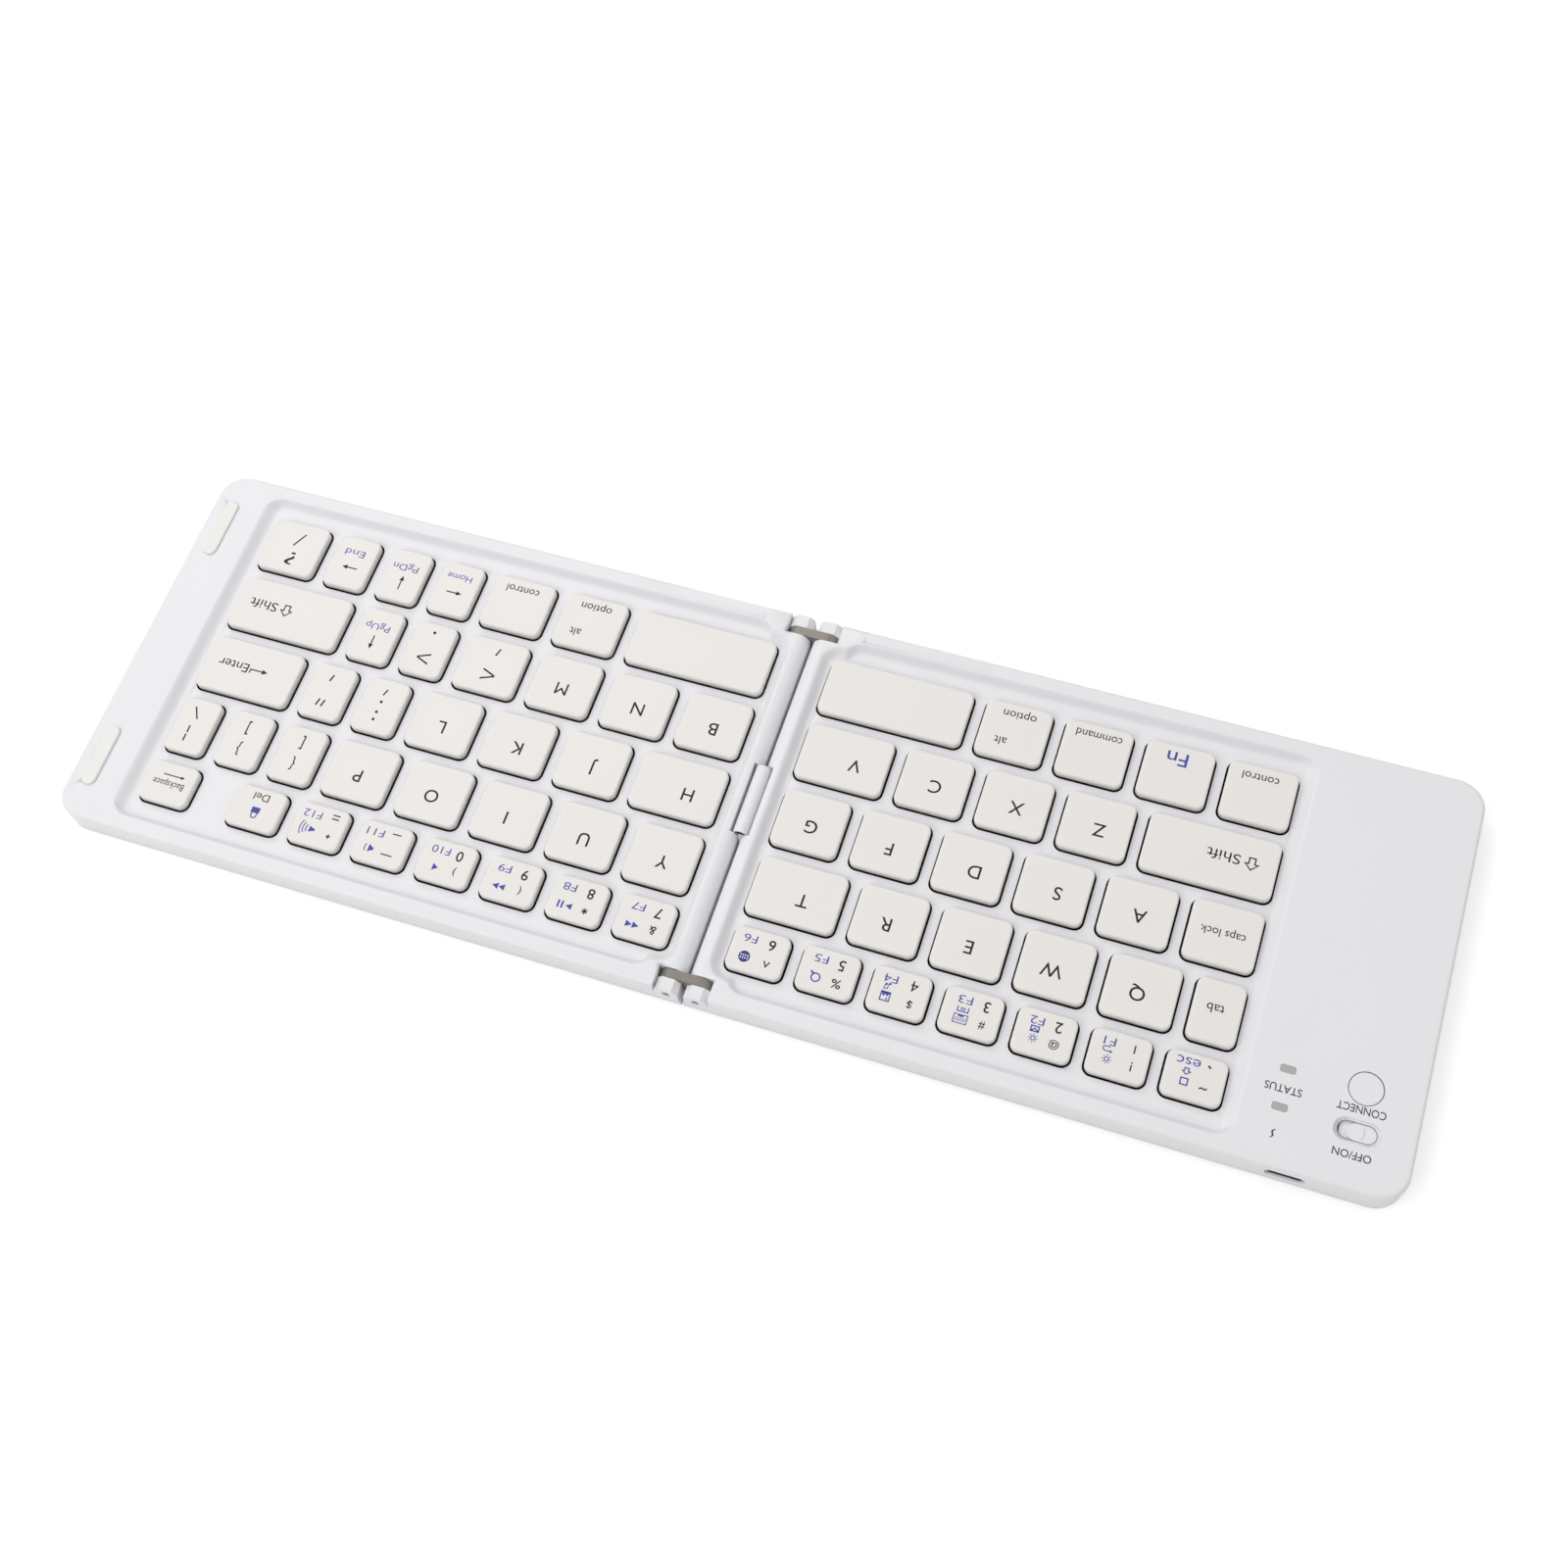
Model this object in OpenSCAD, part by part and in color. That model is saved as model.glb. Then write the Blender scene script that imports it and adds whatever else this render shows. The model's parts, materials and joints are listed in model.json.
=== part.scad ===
// Folding wireless keyboard, drawn open and flat.
// X runs to the typist's right, Y away from the typist, Z up; the hinge plane is X = 0
// and the feet stand on Z = 0. Measures are millimetres.

/* [Case] */
// Depth, from the front edge to the back edge
depth = 95.5; // [94:0.5:104]
// Height of the case, from its underside to its rim
case_height = 7.5; // [7:0.1:9]
// Height of the bottom cover's wall, up to the line where the covers meet
bottom_height = 2; // [1.8:0.1:2.3]
// Thickness of the outer walls
wall = 1.4; // [1:0.1:1.8]
// Thickness of the bottom cover's floor
floor_thick = 0.9; // [0.8:0.1:1.1]
// Radius of the outer corners, seen from above
corner_radius = 6.5; // [5:0.5:8]
// Radius of the rounded edge along the rim
rim_round = 0.95; // [0.5:0.05:1.1]
// Radius of the rounded edge along the underside
under_round = 0.6; // [0.3:0.1:0.9]

/* [Key deck] */
// Depth of the sunken key deck under the rim
deck_drop = 2; // [1.6:0.1:2.2]
// Thickness of the key deck
deck_thick = 1; // [0.8:0.1:1.2]
// Width of the front and back rims, out to the edge of the case
rim_width = 3.45; // [3:0.05:3.8]
// Width of the slope from those rims down to the deck
rim_slope = 1.7; // [1:0.1:2]
// Width of the rim at the outer end of the right half
end_rim_width = 12.7; // [11:0.1:13]
// Width of the slopes at the outer ends of both decks
end_slope = 3; // [1.5:0.1:3.2]
// Distance from the hinge plane to the top of the slope beside it
hinge_land = 3.6; // [3.4:0.05:3.8]
// Width of the slope beside the hinge
hinge_slope = 2.3; // [1.5:0.1:2.5]
// Corner radius of the deck's hollow at the rim, seen from above
hollow_radius = 4.5; // [3.5:0.1:5]
// Bare deck beyond the left half's last keys
left_margin = 0.86; // [0.7:0.02:1.2]
// Bare deck beyond the right half's last keys
right_margin = 1.7; // [1.2:0.1:2.2]
// How far the front rim is lowered beside the hinge
grip_drop = 0.35; // [0.1:0.05:0.6]
// Distance from the hinge plane to the start of the lowered stretch
grip_start = 12.5; // [11:0.5:16]
// Length of the lowered stretch
grip_length = 29; // [20:1:36]

/* [Keys] */
// Pitch of the letter keys, side to side
letter_pitch = 18.24; // [17.8:0.02:18.6]
// Pitch of the narrow keys, such as the brackets
narrow_pitch = 13.54; // [13:0.02:13.8]
// Pitch of the tab key
tab_pitch = 13.4; // [12.8:0.1:14.5]
// Pitch of the left shift key
left_shift_pitch = 31.6; // [30:0.1:33]
// Pitch of the H key, which closes up to the hinge
h_pitch = 23; // [21:0.1:24]
// Pitch of the last key of the right half's second row
end_pitch = 12.72; // [12:0.02:13.5]
// Pitch of the backspace key
backspace_pitch = 15; // [14:0.1:16]
// Length of bare deck between the last two number keys
bare_length = 6.8; // [5.5:0.1:7.2]
// Pitch from row to row
row_pitch = 16.95; // [16.6:0.05:17.1]
// Depth of the keycaps in the number row
number_depth = 10; // [9.6:0.1:10.3]
// Space between neighbouring keycaps
key_space = 3.1; // [2.9:0.05:3.4]
// Distance from the hinge plane to the nearest keycaps
key_edge = 6.7; // [6.5:0.05:7]
// Gap round each keycap in its opening
key_gap = 0.45; // [0.3:0.05:0.5]
// Corner radius of a keycap, seen from above
key_radius = 1.7; // [1:0.1:2]
// Radius of the rounded edge round a keycap's top
key_round = 0.45; // [0.2:0.05:0.6]
// Height of the keycaps over the deck
key_proud = 1.9; // [1.7:0.05:1.95]
// Height of a keycap, skirt and all
key_height = 3; // [2.7:0.1:3.1]
// Thickness of a keycap's walls
key_wall = 0.9; // [0.7:0.05:1]
// Travel of a key
key_travel = 1.2; // [1:0.05:1.3]

/* [Key mechanism] */
// Thickness of the metal key plate
plate_thick = 0.4; // [0.3:0.05:0.5]
// Gap between the key plate and the bottom cover's floor
plate_stand = 1; // [0.8:0.1:1.1]
// Thickness of the contact film under the rubber domes
film_thick = 0.2; // [0.1:0.05:0.3]
// Radius of a rubber dome at its foot
dome_radius = 2.1; // [1.6:0.1:2.2]
// Radius of a rubber dome at its top, and of the stem over it
dome_top_radius = 1.3; // [1:0.1:1.5]
// Length of the stem under a keycap
stem_length = 1.4; // [1:0.1:1.8]
// Length of a scissor lever
lever_length = 7.4; // [6.6:0.1:7.8]
// Width across the outer lever of a scissor
lever_width = 7.8; // [7.4:0.1:7.9]
// Width of a lever's bars
lever_bar = 0.7; // [0.5:0.05:0.75]
// Thickness of a lever
lever_thick = 0.5; // [0.3:0.05:0.6]
// Radius of the posts that clamp the key plate
post_radius = 0.85; // [0.5:0.05:0.9]
// Distance from the hinge plane to the first posts
post_start = 20; // [18:0.5:22]
// Distance from post to post
post_pitch = 36; // [34:0.5:38]
// How far the side ribs under the key plate stop short of the rows' ends
rib_inset = 4; // [3:0.1:5]

/* [Hinge] */
// Gap between the two halves
hinge_gap = 0.7; // [0.5:0.05:0.9]
// Radius of the rounded edge that each half turns on
bead_radius = 2.95; // [2.7:0.05:3]
// Depth of the hinge pockets, in from the front and back edges
pocket_depth = 5.15; // [4.9:0.05:5.6]
// Distance from the hinge plane to a pocket's end wall
pocket_reach = 6.25; // [6.15:0.05:6.5]
// Thickness of the metal link plates
link_thick = 2; // [1.6:0.1:2.2]
// Radius of a link plate's round ends
link_radius = 2.65; // [2.3:0.05:2.7]
// Radius of the hinge pins
pin_radius = 0.95; // [0.8:0.05:1.1]
// Running clearance of a pin in its link
pin_clearance = 0.05; // [0.03:0.01:0.08]
// Gap between a link plate and the faces beside it
link_gap = 0.1; // [0.08:0.01:0.2]
// Chamfer of the ears that hold the pins
ear_chamfer = 1.25; // [1:0.05:1.4]
// Half width of an ear
ear_half = 2.6; // [2.4:0.05:2.65]
// How far the pins reach in past their pockets
pin_reach = 2.4; // [2:0.1:2.8]
// Length of the sleeve over the cable
sleeve_length = 16.8; // [14:0.2:20]
// Outer radius of that sleeve
sleeve_radius = 1.75; // [1.6:0.05:1.8]
// Wall of that sleeve
sleeve_wall = 0.35; // [0.3:0.05:0.5]
// Gap round the sleeve in its notch
sleeve_gap = 0.5; // [0.4:0.05:0.6]

/* [Controls] */
// Distance from the outer end to the power switch and the connect button
control_inset = 12; // [11.5:0.1:12.5]
// Distance from the back edge to the power switch
switch_inset = 12.2; // [12:0.05:12.5]
// Length of the power switch's slot
switch_slot = 8; // [7.6:0.1:8.4]
// Width of the power switch's slot
switch_width = 3.9; // [3.6:0.1:4.1]
// How far the power switch's foot is let into the underside of the panel
foot_lift = 0.6; // [0.4:0.05:0.7]
// Travel of the power switch
switch_travel = 1.9; // [1.5:0.1:2.2]
// Distance from the back edge to the connect button
button_inset = 21.5; // [21.2:0.05:22]
// Radius of the connect button
button_radius = 3.55; // [3.2:0.05:3.8]
// Travel of the connect button
button_travel = 0.4; // [0.3:0.05:0.5]
// Distance from the outer end to the lights
light_inset = 27.65; // [26.5:0.05:28]
// Distance from the back edge to the first light
light_back = 12.8; // [12.5:0.05:13.5]
// Distance between the two lights
light_pitch = 8.2; // [7.5:0.1:9]
// Length of a light window
light_length = 3.2; // [2.6:0.1:3.6]
// Width of a light window
light_width = 1.7; // [1.4:0.1:2.2]
// Corner radius of a light window
light_corner = 0.5; // [0.3:0.05:0.7]
// Distance from the outer end to the charging socket
usb_inset = 23.5; // [22.5:0.1:24.5]
// Width of the charging socket
usb_width = 7.4; // [7:0.1:7.8]
// Height of the charging socket
usb_height = 2.4; // [2.2:0.1:2.6]
// Length of the slide switch under its knob
switch_body = 8.6; // [8:0.1:9]
// Width of the press switch under its button
press_body = 5.2; // [4.8:0.1:5.6]
// Width of the controller chip
chip_size = 5; // [4.4:0.1:5.4]
// Length of the battery's plug on the board
plug_length = 6; // [5:0.1:7]
// Distance from the back edge to the front edge of the circuit board
board_reach = 28.5; // [27:0.1:30]
// Thickness of the circuit board
board_thick = 0.8; // [0.6:0.1:1]
// Height of the circuit board over the floor
board_stand = 1.6; // [1.4:0.1:1.8]
// Thickness of the battery
battery_thick = 3.2; // [2.6:0.1:3.6]
// Length of the battery, front to back
battery_length = 50; // [40:1:54]

/* [Feet, pads and screws] */
// Height of the case over the surface it stands on
foot_stand = 0.5; // [0.3:0.05:0.8]
// Radius of a foot
foot_radius = 3; // [2.4:0.1:3.2]
// Depth of the seat of a foot in the bottom cover
foot_seat = 0.2; // [0.1:0.02:0.25]
// Distance from the front and back edges to the feet and screws
foot_inset = 4.2; // [4:0.05:4.6]
// Distance from the hinge plane to the inner feet and screws
foot_start = 14; // [13.5:0.1:15]
// Radius of a screw's thread
screw_radius = 0.8; // [0.6:0.05:0.9]
// Radius of a screw's head
head_radius = 1.5; // [1.3:0.05:1.6]
// Length of a screw under its head
screw_length = 4.2; // [3.6:0.1:4.4]
// Length of a bumper pad
pad_length = 15.4; // [12:0.2:18]
// Width of a bumper pad
pad_width = 3.3; // [2.8:0.1:3.6]
// Distance from the outer end to the middle of the pads
pad_inset = 5.1; // [4.6:0.1:5.6]
// Distance from the middle of the depth to each pad's middle
pad_offset = 32; // [26:0.5:36]
// Gap between a pad and the other half's rim when the keyboard is shut
pad_clearance = 0.06; // [0.03:0.01:0.15]

/* [Hidden] */
$fn = 48;
eps = 0.01;
seat_gap = 0.1; // between a moving control and the panel round it
under_z = foot_stand;
floor_z = under_z + floor_thick;
parting_z = under_z + bottom_height;
rim_z = under_z + case_height;
deck_z = rim_z - deck_drop;
deck_under_z = deck_z - deck_thick;
plate_z = floor_z + plate_stand;
film_z = plate_z + plate_thick;
mech_z = film_z + film_thick;
key_top_z = deck_z + key_proud;
key_foot_z = key_top_z - key_height;
key_roof_z = key_top_z - key_wall;
stem_z = key_roof_z - stem_length;
pin_z = rim_z - bead_radius;
pin_u = bead_radius + hinge_gap / 2;
panel_under_z = rim_z - wall;
board_z = floor_z + board_stand;
board_top_z = board_z + board_thick;

rim_y = depth / 2 - rim_width;
deck_y = rim_y - rim_slope;
cavity_y = depth / 2 - wall;
pocket_y = depth / 2 - pocket_depth;
link_y = pocket_y + link_gap;
ear_y = link_y + link_thick + link_gap;
pin_in_y = pocket_y - pin_reach;
shelf_y = pin_in_y - 0.6;      // the solid round the pins' inner ends starts here
shelf_u = pocket_reach + 3.6;
foot_y = depth / 2 - foot_inset;
rows_depth = number_depth + 4 * row_pitch;
key_depth = row_pitch - key_space;
left_rows_length = 6 * letter_pitch;
right_rows_length = 5 * letter_pitch + 2 * narrow_pitch + end_pitch;
left_deck_end = key_edge + left_rows_length - key_space + left_margin;
right_deck_end = key_edge + right_rows_length - key_space + right_margin;
half_width = right_deck_end + end_slope + end_rim_width;
foot_u = [foot_start, half_width - corner_radius];
screw_u = [foot_start, half_width / 2, half_width - corner_radius];
notch_u = sleeve_radius + sleeve_gap;
notch_y = sleeve_length / 2 + 0.3;
sleeve_z = rim_z - sleeve_radius;
control_u = half_width - control_inset;
switch_y = depth / 2 - switch_inset;
button_y = depth / 2 - button_inset;
light_u = half_width - light_inset;
light_y = [for (i = [0, 1]) depth / 2 - light_back - i * light_pitch];
usb_u = half_width - usb_inset;

// Pitches of the keys in each row, from the left, the last key taking what is left of the row.
// They are kept to a fiftieth, so that each key's edges and middle fall on whole hundredths.
function snap(x) = round(x * 50) / 50;
function sum(v, n) = n <= 0 ? 0 : v[n - 1] + sum(v, n - 1);
function filled(v, total) = concat(v, [total - sum(v, len(v))]);
number_pitch = snap((right_rows_length - bare_length - backspace_pitch) / 7);
left_rows = [
    filled([for (i = [1:6]) snap(left_rows_length / 7)], left_rows_length),
    filled([tab_pitch, letter_pitch, letter_pitch, letter_pitch, letter_pitch], left_rows_length),
    filled([for (i = [1:5]) letter_pitch], left_rows_length),
    filled([left_shift_pitch, letter_pitch, letter_pitch, letter_pitch], left_rows_length),
    filled([for (i = [1:4]) letter_pitch], left_rows_length)];
right_rows = [
    filled(concat([for (i = [1:7]) number_pitch], [bare_length]), right_rows_length),
    filled(concat([for (i = [1:5]) letter_pitch], [narrow_pitch, narrow_pitch]), right_rows_length),
    filled([h_pitch, letter_pitch, letter_pitch, letter_pitch, narrow_pitch, narrow_pitch], right_rows_length),
    filled([letter_pitch, letter_pitch, letter_pitch, letter_pitch, narrow_pitch, narrow_pitch], right_rows_length),
    filled([2 * letter_pitch, letter_pitch, letter_pitch, narrow_pitch, narrow_pitch, narrow_pitch], right_rows_length)];
bare_index = 7; // the right number row's stretch without a key

function rows(side) = side < 0 ? left_rows : right_rows;
function keys(side) = [for (row = [0:4], i = [0:len(rows(side)[row]) - 1])
    if (!(side > 0 && row == 0 && i == bare_index)) [row, i]];
function key_x(side, row, i) = snap(sum(rows(side)[row], i)
    + (side < 0 ? key_space - key_edge - left_rows_length : key_edge));
function key_w(side, row, i) = snap(rows(side)[row][i] - key_space);
function key_d(row) = row == 0 ? number_depth : key_depth;
function key_back(row) = row == 0 ? rows_depth / 2 : rows_depth / 2 - number_depth - key_space - (row - 1) * row_pitch;
function key_centre(side, row, i) = [key_x(side, row, i) + key_w(side, row, i) / 2, key_back(row) - key_d(row) / 2];
function gap_y(row) = key_back(row) + key_space / 2; // middle of the web behind a row

// Posts that clamp the key plate, in the webs between the rows.
function post_us(side) = [for (u = [post_start : post_pitch : (side < 0 ? left_deck_end : right_deck_end) - 4]) u];

// ---------- shapes ----------

// The mirror image for the left half of what is drawn for the right one.
module half(side) {
    if (side < 0) mirror([1, 0, 0]) children();
    else children();
}

// Both the back and the front copy.
module back_and_front() {
    children();
    mirror([0, 1, 0]) children();
}

// Section of an edge: r deep and h high, its outer top corner rounded by e.
module edge_section(r, h, e) {
    square([r - e, h]);
    square([r, h - e]);
    translate([r - e, h - e]) circle(e);
}

// Section of a cap: w wide and h high, both top corners rounded by e.
module cap_section(w, h, e) {
    translate([-w / 2, 0]) square([w, h - e]);
    translate([e - w / 2, 0]) square([w - 2 * e, h]);
    for (s = [-1, 1]) translate([s * (w / 2 - e), h - e]) circle(e);
}

// Block with round corners and a round top edge, centred on the origin.
module pillow(w, d, h, r, e) {
    intersection() {
        linear_extrude(h) round_rect(w, d, r);
        rotate([90, 0, 0]) linear_extrude(d + 1, center = true) cap_section(w, h, e);
        rotate([90, 0, 90]) linear_extrude(w + 1, center = true) cap_section(d, h, e);
    }
}

// Outline of a half from u0 outwards, square at the hinge and round at the outer end.
module half_outline(u0, inset = 0) {
    r = corner_radius - inset;
    u1 = half_width - inset;
    y1 = depth / 2 - inset;
    translate([u0, -y1]) square([u1 - r - u0, 2 * y1]);
    translate([u1 - r - eps, r - y1]) square([r + eps, 2 * (y1 - r)]);
    for (s = [-1, 1]) translate([u1 - r, s * (y1 - r)]) circle(r);
}

// Solid half case with its top edge rounded, from the hinge gap outwards.
module half_block(h, e) {
    r = corner_radius;
    u0 = hinge_gap / 2;
    run = half_width - r - u0;
    translate([u0, r - depth / 2, 0]) cube([run, depth - 2 * r, h]);
    back_and_front() {
        translate([u0, depth / 2 - r, 0]) rotate([90, 0, 90]) linear_extrude(run) edge_section(r, h, e);
        translate([half_width - r, depth / 2 - r, 0]) rotate_extrude(angle = 90) edge_section(r, h, e);
    }
    translate([half_width - r, depth / 2 - r, 0]) rotate([90, 0, 0])
        linear_extrude(depth - 2 * r) edge_section(r, h, e);
}

// Pill outline, l long and w wide, along X.
module pill(l, w) {
    square([l - w, w], center = true);
    for (s = [-1, 1]) translate([s * (l - w) / 2, 0]) circle(w / 2);
}

// Rounded rectangle, centred.
module round_rect(w, d, r) {
    square([w - 2 * r, d], center = true);
    square([w, d - 2 * r], center = true);
    for (sx = [-1, 1], sy = [-1, 1]) translate([sx * (w / 2 - r), sy * (d / 2 - r)]) circle(r);
}

// Cylinder along Y, from y0 to y1.
module y_rod(r, y0, y1, fn = $fn) {
    translate([0, y1, 0]) rotate([90, 0, 0]) cylinder(r = r, h = y1 - y0, $fn = fn);
}

// ---------- case ----------

// Points up a soft slope from the deck to the rim, w wide, beginning at x and going the way of s.
// It follows a cosine, steepest halfway and still rising a little where it meets the rim.
function soft(x, s, w) = w == 0 ? [[x, 0]] : [for (t = [0, 1, 2, 3, 4, 5, 6, 7, 7.6])
    [x + s * round(w * t / 7 * 100) / 100, round(deck_drop * (1 - cos(162 * t / 7)) / (1 - cos(162)) * 100) / 100]];
function reversed(v) = [for (i = [len(v) - 1 : -1 : 0]) v[i]];

// Section of a hollow with a soft slope at each side.
module sunk_section(x0, x1, slope0, slope1, up)
    polygon(concat(soft(x1, 1, slope1), [[x1 + 1.2 * slope1, up], [x0 - 1.2 * slope0, up]], reversed(soft(x0, -1, slope0))));

// Soft-sided hollow over the deck, between u0 and u1 and as far as y1 each way, with round
// corners at its outer end and, where slope0 isn't none, at its end by the hinge too.
module sunk(u0, u1, slope0, slope1, y1, slope_y) {
    up = deck_drop + 1;
    r = hollow_radius;
    cy = y1 + slope_y - r;
    difference() {
        intersection() {
            translate([0, depth, deck_z]) rotate([90, 0, 0]) linear_extrude(2 * depth)
                sunk_section(u0, u1, slope0, slope1, up);
            translate([u0 - slope0 - wall, 0, deck_z]) rotate([90, 0, 90])
                linear_extrude(u1 - u0 + slope0 + slope1 + 2 * wall) sunk_section(-y1, y1, slope_y, slope_y, up);
        }
        for (end = [[u0 - slope0 + r, slope0, 1], [u1 + slope1 - r, slope1, 0]]) if (end[1] > 0)
            back_and_front() translate([end[0], cy, deck_z - 1]) mirror([end[2], 0, 0]) difference() {
                cube([2 * r, 2 * r, up + 2]);
                rotate_extrude() polygon(concat([[0, -1], [r - slope_y, -1]],
                    [for (p = soft(r - slope_y, 1, slope_y)) [p[0], p[1] + 1]], [[r + 0.2 * slope_y, up + 3], [0, up + 3]]));
            }
    }
}

// What the rounded hinge edge leaves away over the pins.
module hinge_round() {
    difference() {
        translate([-1, -depth, pin_z]) cube([1 + pin_u, 2 * depth, bead_radius + 2]);
        translate([pin_u, 0, pin_z]) y_rod(bead_radius, -depth - 1, depth + 1);
    }
}

// Outline of the space inside the covers, clear of the pins' and the cable's seats.
module inner_outline(u0) {
    difference() {
        half_outline(u0, wall);
        for (s = [-1, 1]) translate([-1, s > 0 ? shelf_y : -depth]) square([1 + shelf_u, depth - shelf_y]);
        translate([-1, -notch_y - wall]) square([1 + notch_u + wall, 2 * (notch_y + wall)]);
    }
}

module key_openings(side) {
    for (k = keys(side)) translate(key_centre(side, k[0], k[1]))
        round_rect(key_w(side, k[0], k[1]) + 2 * key_gap, key_d(k[0]) + 2 * key_gap, key_radius + key_gap);
}

module ear() {
    z0 = parting_z - pin_z;
    translate([pin_u, 0, pin_z]) translate([0, depth / 2, 0]) rotate([90, 0, 0])
        linear_extrude(depth / 2 - ear_y) polygon([
            [-ear_half, z0], [pocket_reach - pin_u + eps, z0], [pocket_reach - pin_u + eps, 0.2], [ear_half, 0.5],
            [ear_half, ear_half - ear_chamfer], [ear_half - ear_chamfer, ear_half],
            [ear_chamfer - ear_half, ear_half], [-ear_half, ear_half - ear_chamfer]]);
}

// Lowered stretch of the front rim, with sloping ends.
module grip() {
    lift = 1;
    translate([grip_start, -rim_y - 0.3, rim_z - grip_drop]) rotate([90, 0, 0]) linear_extrude(depth)
        polygon([[0, 0], [grip_length, 0], [grip_length + 1 + lift, grip_drop + lift], [-1 - lift, grip_drop + lift]]);
}

module top_cover(side) {
    deck_end = side < 0 ? left_deck_end : right_deck_end;
    difference() {
        half(side) difference() {
            union() {
                difference() {
                    translate([0, 0, parting_z]) half_block(rim_z - parting_z, rim_round);
                    hinge_round();
                    sunk(shelf_u, deck_end, rim_slope, end_slope, deck_y, rim_slope);
                    sunk(hinge_land + hinge_slope, shelf_u + 5, hinge_slope, 0, shelf_y + 0.4, hinge_slope);
                    grip();
                    // the space under the deck, and the higher one at the outer end
                    translate([0, 0, parting_z - 1]) linear_extrude(deck_under_z - parting_z + 1)
                        inner_outline(hinge_gap / 2 + wall);
                    translate([0, 0, parting_z - 1]) linear_extrude(panel_under_z - parting_z + 1)
                        half_outline(deck_end + end_slope + wall, wall);
                    // hinge pockets, and the cable's notch and slot
                    back_and_front() translate([-1, pocket_y, parting_z - 1])
                        cube([1 + pocket_reach, depth, case_height + 2]);
                    translate([-1, -notch_y, parting_z - 1]) cube([1 + notch_u, 2 * notch_y, case_height + 2]);
                    translate([0, -notch_y + 2, film_z - 0.1]) cube([notch_u + wall + 1, 2 * notch_y - 4, film_thick + 0.4]);
                }
                back_and_front() ear();
                for (u = screw_u) back_and_front() translate([u, foot_y, parting_z])
                    cylinder(r = head_radius + 0.3, h = (u > deck_end ? panel_under_z : deck_under_z) - parting_z + 0.2);
                for (u = post_us(side), row = [1:4]) translate([u, gap_y(row), mech_z])
                    cylinder(r = post_radius, h = deck_under_z + 0.2 - mech_z);
            }
            back_and_front() translate([pin_u, 0, pin_z]) y_rod(pin_radius, pin_in_y, depth);
            for (u = screw_u) back_and_front() translate([u, foot_y, parting_z - 1])
                cylinder(r = screw_radius, h = 1 + screw_top_z + 0.2 - parting_z);
            if (side < 0) panel_cuts();
            else back_and_front() translate([half_width - pad_inset, pad_offset, pad_z])
                linear_extrude(pad_height + 1) rotate(90) pill(pad_length + 0.1, pad_width + 0.1);
        }
        translate([0, 0, deck_under_z - 1]) linear_extrude(deck_thick + 2) key_openings(side);
    }
}

// Openings of the control panel.
module panel_cuts() {
    translate([control_u, switch_y, panel_under_z - 1]) linear_extrude(wall + 2) pill(switch_slot, switch_width);
    // pocket in the underside for the foot of its knob, as far as it slides
    translate([control_u, switch_y, panel_under_z - 1]) linear_extrude(1 + foot_lift)
        square([switch_slot + 3, switch_width + 1.8], center = true);
    // shallow dish round the switch
    translate([control_u, switch_y, rim_z - 0.25]) linear_extrude(1) pill(switch_slot + 1.6, switch_width + 1.2);
    translate([control_u, button_y, panel_under_z - 1]) cylinder(r = button_radius + seat_gap, h = wall + 2);
    for (y = light_y) translate([light_u, y, panel_under_z - 1])
        linear_extrude(wall + 2) round_rect(light_length, light_width, light_corner);
    translate([usb_u, depth / 2 + 1, board_top_z + usb_height / 2]) rotate([90, 0, 0])
        linear_extrude(wall + 2) round_rect(usb_width + 0.6, usb_height + 0.6, 1);
}

screw_z = under_z + foot_seat + 0.6; // where a screw's head bears
screw_top_z = screw_z + screw_length;

module bottom_cover(side) {
    deck_end = side < 0 ? left_deck_end : right_deck_end;
    half(side) difference() {
        union() {
            difference() {
                translate([0, 0, parting_z]) mirror([0, 0, 1]) half_block(bottom_height, under_round);
                translate([0, 0, floor_z]) linear_extrude(bottom_height) inner_outline(hinge_gap / 2 + wall);
                // room for the link plates over the floor, and the cable's notch and slot
                back_and_front() translate([-1, pocket_y, pin_z - link_radius - link_gap])
                    cube([1 + pocket_reach, ear_y - pocket_y, case_height]);
                translate([-1, -notch_y, -1]) cube([1 + notch_u, 2 * notch_y, case_height]);
                translate([0, -notch_y + 2, film_z - 0.1]) cube([notch_u + wall + 1, 2 * notch_y - 4, case_height]);
            }
            for (u = screw_u) back_and_front() translate([u, foot_y, floor_z - 0.2])
                cylinder(r = head_radius + 0.3 + wall / 2, h = parting_z - floor_z + 0.2);
            // ribs under the key plate, where the posts press on it
            for (u = post_us(side)) translate([u - 0.5, -rows_depth / 2, floor_z - 0.2])
                cube([1, rows_depth, plate_z - floor_z + 0.2]);
            for (u = [plate_u0 + 1, deck_end - 1]) translate([u - 0.5, rib_inset - rows_depth / 2, floor_z - 0.2])
                difference() {
                    cube([1, rows_depth - 2 * rib_inset, plate_z - floor_z + 0.2]);
                    translate([-1, rows_depth / 2 - rib_inset - notch_y - wall, -1]) cube([3, 2 * (notch_y + wall), 5]);
                }
            if (side < 0) for (u = board_post_u, y = board_post_y) translate([u, y, floor_z - 0.2])
                cylinder(r = 1.4, h = board_z - floor_z + 0.2);
        }
        for (u = screw_u) back_and_front() translate([u, foot_y, 0]) {
            cylinder(r = screw_radius + 0.1, h = case_height);
            cylinder(r = head_radius + 0.1, h = screw_z);
        }
        for (u = foot_u) back_and_front() translate([u, foot_y, 0])
            cylinder(r = foot_radius + 0.05, h = under_z + foot_seat);
    }
}

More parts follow.
